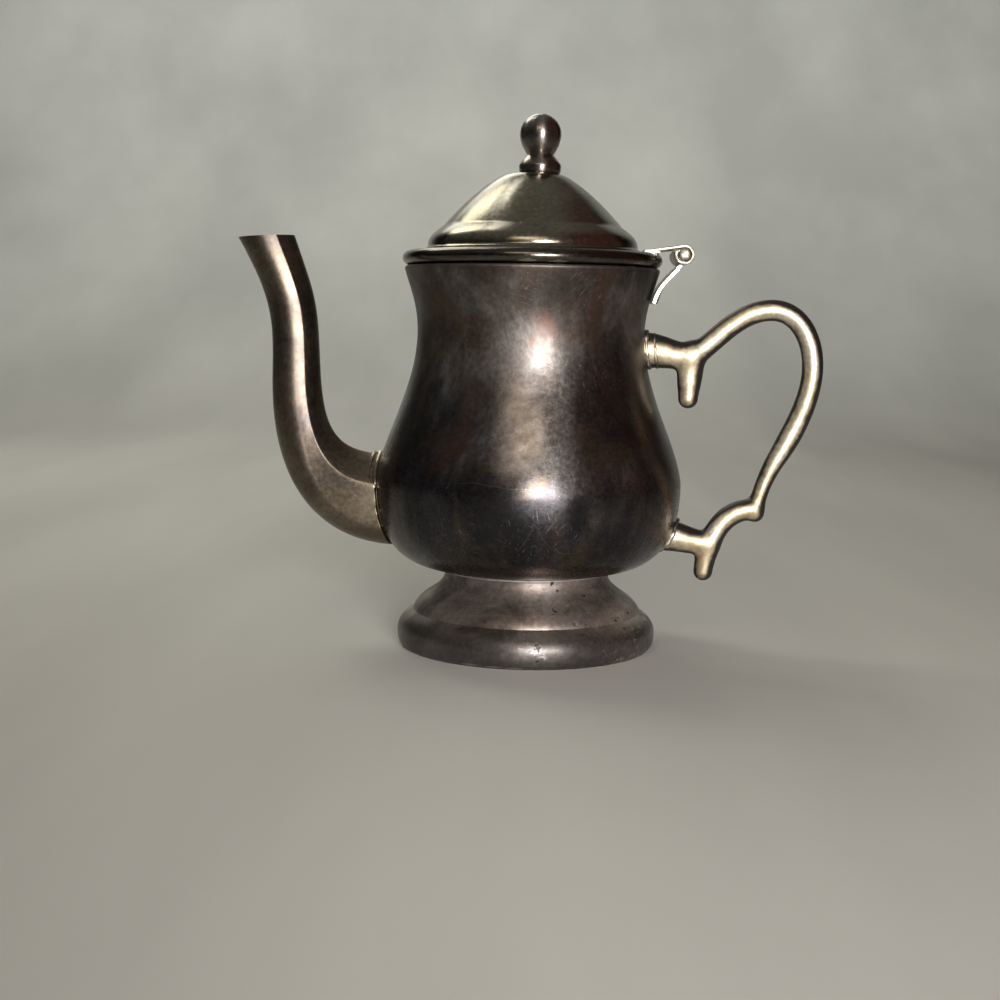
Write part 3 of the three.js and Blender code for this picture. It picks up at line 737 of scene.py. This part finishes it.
leaf_line = outline(((22.3, 81.2), ((24.4, 81.35), (27.0, 81.85), (30.2, 82.3))), 14)
roll = [
    (HINGE_X + KNUCKLE * math.cos(math.radians(a)), HINGE_Z + KNUCKLE * math.sin(math.radians(a)))
    for a in range(82, -206, -8)
]
leaf_root = [p for p in leaf_line if p[0] < 27.6]
ear = BARREL / 2 - OUTER
leaf = piece(
    "hinge_leaf_visual",
    *joined(
        sheet_across(leaf_line + roll, LEAF, -BARREL / 2, -ear),
        sheet_across(leaf_line + roll, LEAF, ear, BARREL / 2),
        sheet_across(leaf_root, LEAF, -ear - 0.2, ear + 0.2, ease=0.0),
        sheet_across([(22.35, 80.85), (24.2, 80.9), (25.3, 80.95)], 0.5, -BARREL / 2 + 0.2, BARREL / 2 - 0.2),
    ),
    sharp=50,
)

# The strap's line from the barrel down the neck, and the half breadth at which it hugs the neck
BRACKET_LINE = (
    (30.9, 79.0),
    ((29.6, 77.5), (27.6, 75.6), (26.3, 73.95)),
    ((25.6, 73.0), (25.2, 72.0), (24.75, 70.55)),
)
HUG_BREADTH = 6.0


def bracket_sheet(low, high, first, last, columns=25):
    """The bracket's strap, flat at the barrel and hugging the round neck at its foot."""
    line = outline(BRACKET_LINE, 14)
    total = len(line) - 1
    line = line[round(first * total):round(last * total) + 1]
    rings = []
    for c in range(columns):
        y = mix(low, high, c / (columns - 1))
        ease = 0.1 if c in (0, columns - 1) else 0.0
        ring = []
        for x, z in strip(line, STRAP - ease):
            hug = 1 - smoothstep(z, 71.0, 77.0)
            radius = body_radius(z - FOOT_HEIGHT) + 0.6
            bulge = math.sqrt(radius ** 2 - y ** 2) - math.sqrt(radius ** 2 - HUG_BREADTH ** 2)
            ring.append((x + hug * bulge - ease * 0.5, y, z))
        rings.append(ring)
    return lofted(rings)


gap = MIDDLE / 2 + 0.05
bracket = piece(
    "hinge_bracket_visual",
    *joined(
        bracket_sheet(-BARREL / 2, BARREL / 2, 0.17, 1.0),
        bracket_sheet(-gap, gap, 0.0, 0.3, 9),
        knuckle(-MIDDLE / 2, MIDDLE / 2),
    ),
    sharp=50,
)

pin_profile = [
    (0.02, -6.55), (0.45, -6.53), (0.85, -6.45), (1.15, -6.36), (1.3, -6.26), (1.3, -6.2), (0.95, -6.15),
]
pin_profile += [(r, -y) for r, y in reversed(pin_profile)]


def peened(v):
    """Hammer marks on the ends of the pin."""
    x, y, z = v
    if abs(y) < PIN_HEAD:
        return v
    mark = 0.5 + 0.5 * rise_and_fall((x * 1.7, y, z), 0.55, 4.4)
    return x, y - math.copysign(0.13 * mark, y), z


pin_rings = [about_hinge(r, y, 36) for r, y in pin_profile]
pin = piece("hinge_pin_visual", *lofted(pin_rings), sharp=60, uneven=peened)


# Materials
class Nodes:
    """A node tree, built up node by node."""

    def __init__(self, tree, space="Object"):
        self.tree = tree
        self.places = self.new("TexCoord")
        self.coords = self.places.outputs[space]

    def new(self, kind, inputs=None, **settings):
        """A node with its settings made, and its inputs set or linked."""
        node = self.tree.nodes.new("ShaderNode" + kind)
        for name, value in settings.items():
            setattr(node, name, value)
        for name, source in (inputs or {}).items():
            self.fill(node.inputs[name], source)
        return node

    def fill(self, socket, source):
        if hasattr(source, "links"):
            self.tree.links.new(source, socket)
        else:
            socket.default_value = source

    def stretched(self, scale, shift=(0, 0, 0)):
        node = self.new("Mapping", {"Scale": scale, "Location": shift, "Vector": self.coords})
        return node.outputs["Vector"]

    def streaks(self, length, width, turn, low, high):
        """Straight scratches of a length and a width, turned about the pot's depth."""
        rods = self.new("Mapping", {
            "Scale": (length * MM, width * MM, width * MM),
            "Rotation": (math.radians(turn / 3), math.radians(turn), 0.0),
            "Location": (turn * MM, 0.0, 0.0),
            "Vector": self.coords,
        }, vector_type="TEXTURE")
        return self.ramp(self.clouds(1.0, 0.0, 0.5, 0.2, rods.outputs["Vector"]), ((low, 0.0), (high, 1.0)))

    def clouds(self, scale, detail=5.0, rough=0.6, distortion=0.0, vector=None):
        node = self.new("TexNoise", {
            "Scale": scale, "Detail": detail, "Roughness": rough, "Distortion": distortion,
            "Vector": vector or self.coords,
        })
        return node.outputs["Fac"]

    def cell_walls(self, scale, vector):
        node = self.new("TexVoronoi", {"Scale": scale, "Vector": vector}, feature="DISTANCE_TO_EDGE")
        return node.outputs["Distance"]

    def warped(self, scale, amount):
        """Coordinates pushed about by a cloud, so that lines drawn in them wander."""
        cloud = self.new("TexNoise", {"Scale": scale, "Detail": 1.0, "Vector": self.coords})
        push = self.new("VectorMath", operation="MULTIPLY_ADD")
        sources = (cloud.outputs["Color"], (amount, amount, amount), self.coords)
        for socket, source in zip(push.inputs, sources):
            self.fill(socket, source)
        return push.outputs["Vector"]

    def length(self, vector):
        return self.new("VectorMath", {"Vector": vector}, operation="LENGTH").outputs["Value"]

    def along(self, axis):
        return self.new("SeparateXYZ", {"Vector": self.coords}).outputs[axis]

    def facing(self, axis):
        return self.new("SeparateXYZ", {"Vector": self.places.outputs["Normal"]}).outputs[axis]

    def broadside(self):
        """How squarely the surface faces either side of the pot."""
        return self.math("ABSOLUTE", self.facing("Y"), 0.0)

    def span(self, value, low, high, first=0.0, last=1.0):
        """A smooth step from one value to another."""
        node = self.new("MapRange", {
            "From Min": low, "From Max": high, "To Min": first, "To Max": last, "Value": value,
        }, interpolation_type="SMOOTHSTEP")
        return node.outputs["Result"]

    def ramp(self, value, stops):
        node = self.new("ValToRGB", {"Fac": value})
        ramp = node.color_ramp
        while len(ramp.elements) < len(stops):
            ramp.elements.new(0.5)
        for element, (place, colour) in zip(ramp.elements, stops):
            element.position = place
            if isinstance(colour, (int, float)):
                colour = (colour, colour, colour)
            element.color = (*colour, 1.0)
        return node.outputs["Color"]

    def blend(self, amount, first, second):
        """One colour mixed to another, each an output or three numbers."""
        node = self.new("Mix", data_type="RGBA")
        sockets = {socket.name: socket for socket in node.inputs if socket.enabled}
        for name, source in (("Factor", amount), ("A", first), ("B", second)):
            self.fill(sockets[name], (*source, 1.0) if isinstance(source, tuple) else source)
        return [socket for socket in node.outputs if socket.enabled][0]

    def math(self, operation, first, second):
        node = self.new("Math", operation=operation)
        self.fill(node.inputs[0], first)
        self.fill(node.inputs[1], second)
        return node.outputs["Value"]

    def bump(self, height, distance, strength=1.0, below=None, invert=False):
        inputs = {"Strength": strength, "Distance": distance * MM, "Height": height}
        node = self.new("Bump", inputs, invert=invert)
        if below:
            self.fill(node.inputs["Normal"], below)
        return node.outputs["Normal"]

    def edges(self, low, high):
        return self.ramp(self.new("NewGeometry").outputs["Pointiness"], ((low, 0.0), (high, 1.0)))


class Material(Nodes):
    """A procedural material."""

    def __init__(self, name, inputs):
        self.material = bpy.data.materials.new(name)
        self.material.use_nodes = True
        super().__init__(self.material.node_tree)
        self.finish(inputs)

    def finish(self, inputs):
        """The material, with sockets of its shader set or linked."""
        shader = self.tree.nodes["Principled BSDF"]
        for name, source in inputs.items():
            self.fill(shader.inputs[name], source)
        return self.material


def tarnished(
    name, film, tint, tint_amount, worn, wear, rough, blotch=55, tall=1.0, pits=0.0, grain=0.005, hairs=0.3,
    painted_shade=None, painted_shade_below=0.0, painted_shade_span=12.0, ruddy=None, sides=None, score=None, metal=1.0,
    gloss=(0.0, 0.1), brushed_above=None, solder=None, turned_grain=0.0, painted_highlight_from=None,
):
    """Silver plate under a patchy film of tarnish, scratched and rubbed on its edges, with optional painted
    shade towards the bottom, a painted highlight band with painted shade at a bar's edges, and a painted
    highlight above a height.
    """
    plate = Material(name, {"Metallic": metal, "Coat Weight": gloss[0], "Coat Roughness": gloss[1]})
    if turned_grain:
        around = plate.new("Tangent", direction_type="RADIAL", axis="Z").outputs["Tangent"]
        plate.finish({"Tangent": around, "Anisotropic": turned_grain, "Anisotropic Rotation": 0.25})
    patches = plate.clouds(blotch, 7.0, 0.64, 0.4, plate.stretched((1, 1, tall)))
    colour = plate.ramp(patches, film)
    second = plate.clouds(blotch * 0.55, 4.0, 0.55, 0.6, plate.stretched((1, 1, 0.7), (0.31, 0.17, 0.05)))
    colour = plate.blend(plate.ramp(second, ((0.40, 0.0), (0.66, tint_amount))), colour, tint)
    # Painted highlight and painted shade: faces turned to either side of the pot stay bright, while faces
    # turned outwards or upwards and the bar's edges take the dark sides colour
    if sides:
        painted_highlight_mask = plate.math("ADD", plate.broadside(), plate.math("MULTIPLY", patches, 0.55))
        painted_highlight_mask = plate.math("SUBTRACT", painted_highlight_mask, plate.math("MULTIPLY", plate.facing("X"), 0.32))
        painted_highlight_mask = plate.math("SUBTRACT", painted_highlight_mask, plate.math("MULTIPLY", plate.facing("Z"), 0.12))
        colour = plate.blend(plate.span(painted_highlight_mask, 0.97, 1.19), sides, colour)
    # Painted shade: below a height, with a wavering edge, the film darkens towards the piece's bottom
    if painted_shade:
        sway = plate.math("MULTIPLY", second, painted_shade_span * 1.6 * MM)
        middle = painted_shade_below + painted_shade_span * 0.8
        uneven = plate.math("ADD", plate.along("Z"), sway)
        low, high = (middle - painted_shade_span / 2) * MM, (middle + painted_shade_span / 2) * MM
        colour = plate.blend(plate.span(uneven, low, high, 0.8, 0.0), colour, painted_shade)
    if ruddy:
        third = plate.clouds(blotch * 1.1, 6.0, 0.65, 0.9, plate.stretched((1, 1, tall), (0.53, -0.21, 0.4)))
        colour = plate.blend(plate.ramp(third, ((0.50, 0.0), (0.64, 0.75))), colour, ruddy)
        fourth = plate.clouds(blotch * 1.5, 6.0, 0.65, 0.6, plate.stretched((1, 1, 0.8), (-0.27, 0.36, 0.11)))
        colour = plate.blend(plate.ramp(fourth, ((0.53, 0.0), (0.66, 0.7))), colour, tint)
    if solder:
        reach, height, colours = solder
        near = plate.span(plate.along("X"), (reach - 2.2) * MM, (reach + 0.4) * MM)
        over = plate.span(plate.along("Z"), (height - 2.0) * MM, (height + 1.0) * MM)
        patchy = plate.math("MULTIPLY", over, plate.ramp(second, ((0.2, 1.0), (0.7, 0.7))))
        colour = plate.blend(plate.math("MULTIPLY", near, patchy), colour, colours)
    # Painted highlight: above a height, here the foot's bead under the body, the colour turns to the bright
    # worn colour
    if painted_highlight_from:
        painted_highlight_band = plate.span(plate.along("Z"), painted_highlight_from * MM, (painted_highlight_from + 0.25) * MM, 0.0, 0.9)
        colour = plate.blend(painted_highlight_band, colour, worn)
    speckle = plate.clouds(1100, 3.0, 0.7)
    colour = plate.blend(plate.ramp(speckle, ((0.3, 0.68), (0.66, 1.0))), (0, 0, 0), colour)
    hair_lines = plate.cell_walls(38, plate.warped(45, 0.012))
    broken = plate.ramp(plate.clouds(60, 4.0, 0.6), ((0.46, 0.05), (0.66, 1.0)))
    scratches = plate.math("MULTIPLY", plate.ramp(hair_lines, ((0.0, 0.4), (0.003, 0.0))), broken)
    for length, width, turn in ((5.0, 0.30, 24), (3.0, 0.26, -52), (7.0, 0.32, 78), (2.2, 0.30, 140)):
        scored = plate.math("MULTIPLY", plate.streaks(length, width, turn, 0.77, 0.84), broken)
        scratches = plate.math("MAXIMUM", scratches, scored)
    if score:
        wander = plate.math("MULTIPLY", plate.clouds(40, 3.0), 0.006)
        height = plate.math("ADD", plate.along("Z"), wander)
        off = plate.math("ABSOLUTE", plate.math("SUBTRACT", height, score * MM), 0.0)
        left = plate.span(plate.along("X"), 0.0, 0.006, 1.0, 0.0)
        line = plate.math("MULTIPLY", plate.span(off, 0.0, 0.10 * MM, 1.0, 0.0), left)
        faint = plate.math("MULTIPLY", line, plate.ramp(second, ((0.36, 0.05), (0.58, 0.8))))
        scratches = plate.math("MAXIMUM", scratches, faint)
    colour = plate.blend(plate.math("MULTIPLY", scratches, hairs), colour, worn)
    if wear:
        colour = plate.blend(plate.math("MULTIPLY", plate.edges(0.515, 0.56), wear), colour, worn)
    roughness = plate.math(
        "ADD",
        plate.ramp(patches, ((0.3, rough[1]), (0.7, rough[0]))),
        plate.math("MULTIPLY", plate.ramp(speckle, ((0.35, 0.0), (0.7, 1.0))), 0.08),
    )
    if brushed_above:
        height, extra = brushed_above
        more = plate.span(plate.along("Z"), (height - 7) * MM, (height + 7) * MM, 0.0, extra)
        roughness = plate.math("ADD", roughness, more)
    waves = plate.bump(plate.clouds(95, 2.0, 0.5), 0.03)
    rubbed = plate.bump(plate.clouds(1.0, 2.0, 0.6, 0.3, plate.stretched((90, 90, 2600))), 0.0022, 1.0, waves)
    fine = plate.bump(plate.clouds(1500, 3.0, 0.65), grain, 1.0, rubbed)
    normal = plate.bump(scratches, 0.003, 0.6, fine)
    if pits:
        lean = plate.math("MULTIPLY", plate.along("X"), 3.5)
        where = plate.math("ADD", plate.clouds(70, 3.0, 0.6, 0.3), lean)
        where = plate.ramp(where, ((0.50, 0.0), (0.66, 1.0)))
        eaten = plate.clouds(640, 2.0, 0.5, 0.1, plate.stretched((1, 1, 1.4)))
        eaten = plate.ramp(eaten, ((0.65, 0.0), (0.70, 1.0)))
        small = plate.ramp(plate.clouds(1150, 2.0, 0.6, 0.5), ((0.66, 0.0), (0.74, 0.8)))
        holes = plate.math("MULTIPLY", plate.math("MAXIMUM", eaten, small), where)
        crust = plate.clouds(480, 5.0, 0.75, 0.2, plate.stretched((1, 1, 1.3), (0.2, 0.1, 0.3)))
        crust = plate.math("MULTIPLY", plate.ramp(crust, ((0.58, 0.0), (0.68, 0.75))), where)
        colour = plate.blend(crust, colour, worn)
        colour = plate.blend(plate.math("MULTIPLY", holes, pits), colour, (0.012, 0.011, 0.011))
        roughness = plate.math("ADD", roughness, plate.math("MULTIPLY", holes, 0.25))
        eaten_away = plate.math("SUBTRACT", holes, plate.math("MULTIPLY", crust, 0.5))
        normal = plate.bump(eaten_away, 0.06, pits, normal, invert=True)
    return plate.finish({"Base Color": colour, "Roughness": roughness, "Normal": normal})


# The body's plate, with painted shade on its lower belly
dark_plate = tarnished(
    "dark_tarnished_plate",
    (
        (0.38, (0.018, 0.017, 0.021)), (0.47, (0.056, 0.053, 0.057)),
        (0.54, (0.135, 0.127, 0.127)), (0.64, (0.34, 0.322, 0.31)),
    ),
    (0.12, 0.09, 0.058), 0.4, (0.6, 0.58, 0.54), 0.3, (0.20, 0.30), tall=0.6, grain=0.014, hairs=0.26,
    painted_shade=(0.028, 0.026, 0.031), painted_shade_below=37.0, ruddy=(0.12, 0.066, 0.048), score=39.0, metal=0.93,
    gloss=(0.12, 0.3), brushed_above=(56.0, 0.18), turned_grain=0.3,
)
# The foot's plate, with painted shade low on its roll and a painted highlight on its bead under the body
dull_plate = tarnished(
    "dull_pitted_plate",
    (
        (0.36, (0.085, 0.075, 0.070)), (0.47, (0.25, 0.218, 0.195)),
        (0.55, (0.41, 0.362, 0.325)), (0.66, (0.62, 0.56, 0.515)),
    ),
    (0.24, 0.175, 0.132), 0.5, (0.6, 0.56, 0.53), 0.35, (0.32, 0.46), blotch=75, pits=0.9, grain=0.016,
    painted_shade=(0.105, 0.096, 0.09), painted_shade_below=6.4, painted_shade_span=2.4,
    metal=0.87, gloss=(0.08, 0.2), turned_grain=0.25,
    painted_highlight_from=15.55, brushed_above=(12.0, 0.22),
)
# The spout's plate, with painted shade low on its root and a solder colour at its upper root
spout_plate = tarnished(
    "spout_plate",
    (
        (0.34, (0.062, 0.052, 0.047)), (0.46, (0.145, 0.121, 0.097)),
        (0.57, (0.215, 0.177, 0.130)), (0.7, (0.31, 0.255, 0.183)),
    ),
    (0.21, 0.153, 0.092), 0.6, (0.6, 0.55, 0.46), 0.0, (0.30, 0.40), blotch=60, grain=0.011,
    painted_shade=(0.07, 0.065, 0.065), painted_shade_below=20.0, gloss=(0.1, 0.2), solder=(-31.0, 38.5, (0.62, 0.56, 0.42)),
)
# The handle's plate, with a painted highlight band along its bar and painted shade at the bar's edges
bright_plate = tarnished(
    "rubbed_plate_painted_highlight",
    (
        (0.36, (0.36, 0.31, 0.235)), (0.45, (0.64, 0.57, 0.44)),
        (0.55, (0.82, 0.75, 0.60)), (0.68, (0.93, 0.88, 0.77)),
    ),
    (0.72, 0.54, 0.28), 0.6, (0.78, 0.74, 0.65), 0.2, (0.34, 0.5), blotch=150, grain=0.012,
    sides=(0.075, 0.064, 0.056), metal=0.85,
)
hinge_plate = tarnished(
    "rubbed_hinge_plate",
    (
        (0.3, (0.19, 0.172, 0.136)), (0.46, (0.33, 0.306, 0.25)),
        (0.6, (0.46, 0.432, 0.37)), (0.75, (0.62, 0.59, 0.52)),
    ),
    (0.27, 0.22, 0.14), 0.5, (0.74, 0.71, 0.64), 0.35, (0.26, 0.38), blotch=220,
)
# The lid's plate, with painted shade on its rim, flange and the foot of its dome
warm_plate = tarnished(
    "warm_tarnished_plate",
    (
        (0.3, (0.20, 0.182, 0.138)), (0.46, (0.29, 0.268, 0.208)),
        (0.6, (0.38, 0.356, 0.28)), (0.76, (0.50, 0.475, 0.393)),
    ),
    (0.24, 0.187, 0.15), 0.6, (0.7, 0.67, 0.57), 0.45, (0.13, 0.23),
    blotch=48, grain=0.005, turned_grain=0.35,
    painted_shade=(0.075, 0.065, 0.06), painted_shade_below=80.4, painted_shade_span=1.6,
)
finial_plate = tarnished(
    "dark_polished_plate",
    (
        (0.3, (0.11, 0.097, 0.09)), (0.46, (0.19, 0.168, 0.155)),
        (0.6, (0.28, 0.252, 0.232)), (0.76, (0.4, 0.37, 0.34)),
    ),
    (0.22, 0.152, 0.115), 0.5, (0.6, 0.56, 0.5), 0.5, (0.22, 0.32), blotch=110, grain=0.004,
    gloss=(1.0, 0.04), turned_grain=0.75,
)
inner_metal = tarnished(
    "dull_inner_brass",
    (
        (0.3, (0.22, 0.155, 0.07)), (0.46, (0.34, 0.25, 0.12)),
        (0.6, (0.44, 0.34, 0.18)), (0.76, (0.54, 0.43, 0.25)),
    ),
    (0.2, 0.14, 0.07), 0.5, (0.6, 0.5, 0.32), 0.4, (0.3, 0.45), blotch=150,
)

PIECES = (
    (body, "pot", "body_shell", "dark_plate", dark_plate),
    (foot, "pot", "foot_pedestal", "dull_plate", dull_plate),
    (spout, "pot", "spout", "spout_plate", spout_plate),
    (handle, "pot", "handle", "bright_plate", bright_plate),
    (bracket, "pot", "body_hinge_bracket", "hinge_plate", hinge_plate),
    (lid, "lid", "lid_dome", "warm_plate", warm_plate),
    (bezel, "lid", "lid_bezel", "warm_plate", warm_plate),
    (leaf, "lid", "lid_hinge_leaf", "hinge_plate", hinge_plate),
    (pin, "lid", "hinge_pin", "hinge_plate", hinge_plate),
    (finial, "lid", "finial", "finial_plate", finial_plate),
)
for obj, rides, node, slot, material in PIECES:
    obj.data.materials.clear()
    obj.data.materials.append(material)
    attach(obj, rides)
    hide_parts(node)
for node in ("finial_washer", "finial_nut"):
    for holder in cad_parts[node].material_slots:
        holder.material = inner_metal


# Floor and backdrop, one sheet that curves up behind
def sweep_floor():
    near, far, half_width, bend, top = -1.6, 0.55, 2.2, 0.45, 1.3
    quarter = [math.pi / 2 * i / 24 for i in range(1, 25)]
    line = [(near, 0.0), (far, 0.0)]
    line += [(far + bend * math.sin(a), bend - bend * math.cos(a)) for a in quarter]
    line += [(far + bend, top)]
    verts = [(x, y, z) for x in (-half_width, half_width) for y, z in line]
    count = len(line)
    faces = [(i, i + 1, count + i + 1, count + i) for i in range(count - 1)]
    mesh = bpy.data.meshes.new("floor")
    mesh.from_pydata(verts, [], faces)
    mesh.shade_smooth()
    obj = bpy.data.objects.new("floor", mesh)
    bpy.context.scene.collection.objects.link(obj)
    paper = Material("pale_paper", {"Roughness": 0.9})
    mottle = paper.clouds(9.0, 5.0, 0.5, 0.0, paper.stretched((1.0, 0.16, 1.0)))
    tones = paper.ramp(mottle, ((0.35, (0.53, 0.535, 0.505)), (0.7, (0.68, 0.685, 0.645))))
    # Painted shade: the sheet darkens to near black far from the pot
    away = paper.length(paper.stretched((1.0, 0.6, 0.0), (0.0, -0.18, 0.0)))
    painted_far_shade = paper.blend(paper.span(away, 0.62, 1.15), tones, (0.05, 0.05, 0.048))
    mesh.materials.append(paper.finish({"Base Color": painted_far_shade}))


sweep_floor()


def lamp(name, place, aim, size, radiance, colour=(1, 1, 1), spread=180):
    """A soft rectangular lamp, with a grid that narrows its spread; radiance is how bright its face looks."""
    light = bpy.data.lights.new(name, "AREA")
    light.shape = "RECTANGLE"
    light.size, light.size_y = size
    half = math.radians(spread) / 2
    gain = 1.0 if spread >= 180 else math.tan(half) / (math.tan(half) - half)
    light.energy = radiance * math.pi * size[0] * size[1] / gain
    light.spread = 2 * half
    light.color = colour
    obj = bpy.data.objects.new(name, light)
    bpy.context.scene.collection.objects.link(obj)
    obj.location = place
    obj.rotation_euler = (Vector(aim) - Vector(place)).to_track_quat("-Z", "Y").to_euler()


lamp("key_near_camera", (0.105, -0.52, 0.105), (0, 0, 0.06), (0.15, 0.14), 64.0, (1.0, 0.965, 0.95), 50)
lamp("warm_above_camera", (-0.05, -0.46, 0.36), (0, 0, 0.05), (0.30, 0.16), 3.0, (1.0, 0.82, 0.66), 70)
lamp("window_back_left", (-0.37, 0.38, 0.62), (0, 0, 0.08), (0.21, 0.25), 4.6, (1.0, 0.96, 0.78))
lamp("window_behind", (-0.16, 0.6, 0.535), (0, 0, 0.105), (0.42, 0.28), 3.2, (1.0, 0.98, 0.93), 40)
lamp("floor_fill", (-0.35, 0.55, 0.9), (-0.1, 0.35, 0.0), (0.5, 0.5), 7.0, (1.0, 0.99, 0.95), 42)
lamp("backdrop_wash", (0.0, 0.3, 1.25), (0, 0.98, 0.5), (1.6, 0.3), 13.6, (0.98, 1.0, 0.96), 70)

# Dim surroundings, lighter overhead and ruddy on the handle's side
world = bpy.data.worlds.new("studio")
world.use_nodes = True
bpy.context.scene.world = world
sky = Nodes(world.node_tree, "Generated")
height = sky.ramp(sky.along("Z"), ((0.15, (0.025, 0.024, 0.025)), (0.95, (0.18, 0.175, 0.157))))
around = sky.blend(sky.span(sky.along("X"), 0.2, 0.6), height, (0.09, 0.043, 0.037))
background = sky.tree.nodes["Background"]
sky.fill(background.inputs["Color"], around)
background.inputs["Strength"].default_value = 1.0

# Camera, at the place and with the slight tilt that the photograph was taken from
EYE = (0.0, -0.3178, 0.0675)
PITCH, YAW, ROLL = math.radians(6.75), math.radians(-1.035), math.radians(0.965)
forward = Vector((math.sin(YAW) * math.cos(PITCH), math.cos(YAW) * math.cos(PITCH), -math.sin(PITCH)))
level = Vector((math.cos(YAW), -math.sin(YAW), 0.0))
upright = level.cross(forward)
right = math.cos(ROLL) * level + math.sin(ROLL) * upright
up = -math.sin(ROLL) * level + math.cos(ROLL) * upright
camera_data = bpy.data.cameras.new("camera")
camera_data.sensor_width = 36.0
camera_data.lens = 55.8
camera_data.clip_start = 0.01
camera = bpy.data.objects.new("camera", camera_data)
bpy.context.scene.collection.objects.link(camera)
turn = Matrix((right, up, -forward)).transposed().to_4x4()
camera.matrix_world = Matrix.Translation(EYE) @ turn
bpy.context.scene.camera = camera
bpy.context.scene.view_settings.view_transform = "Standard"
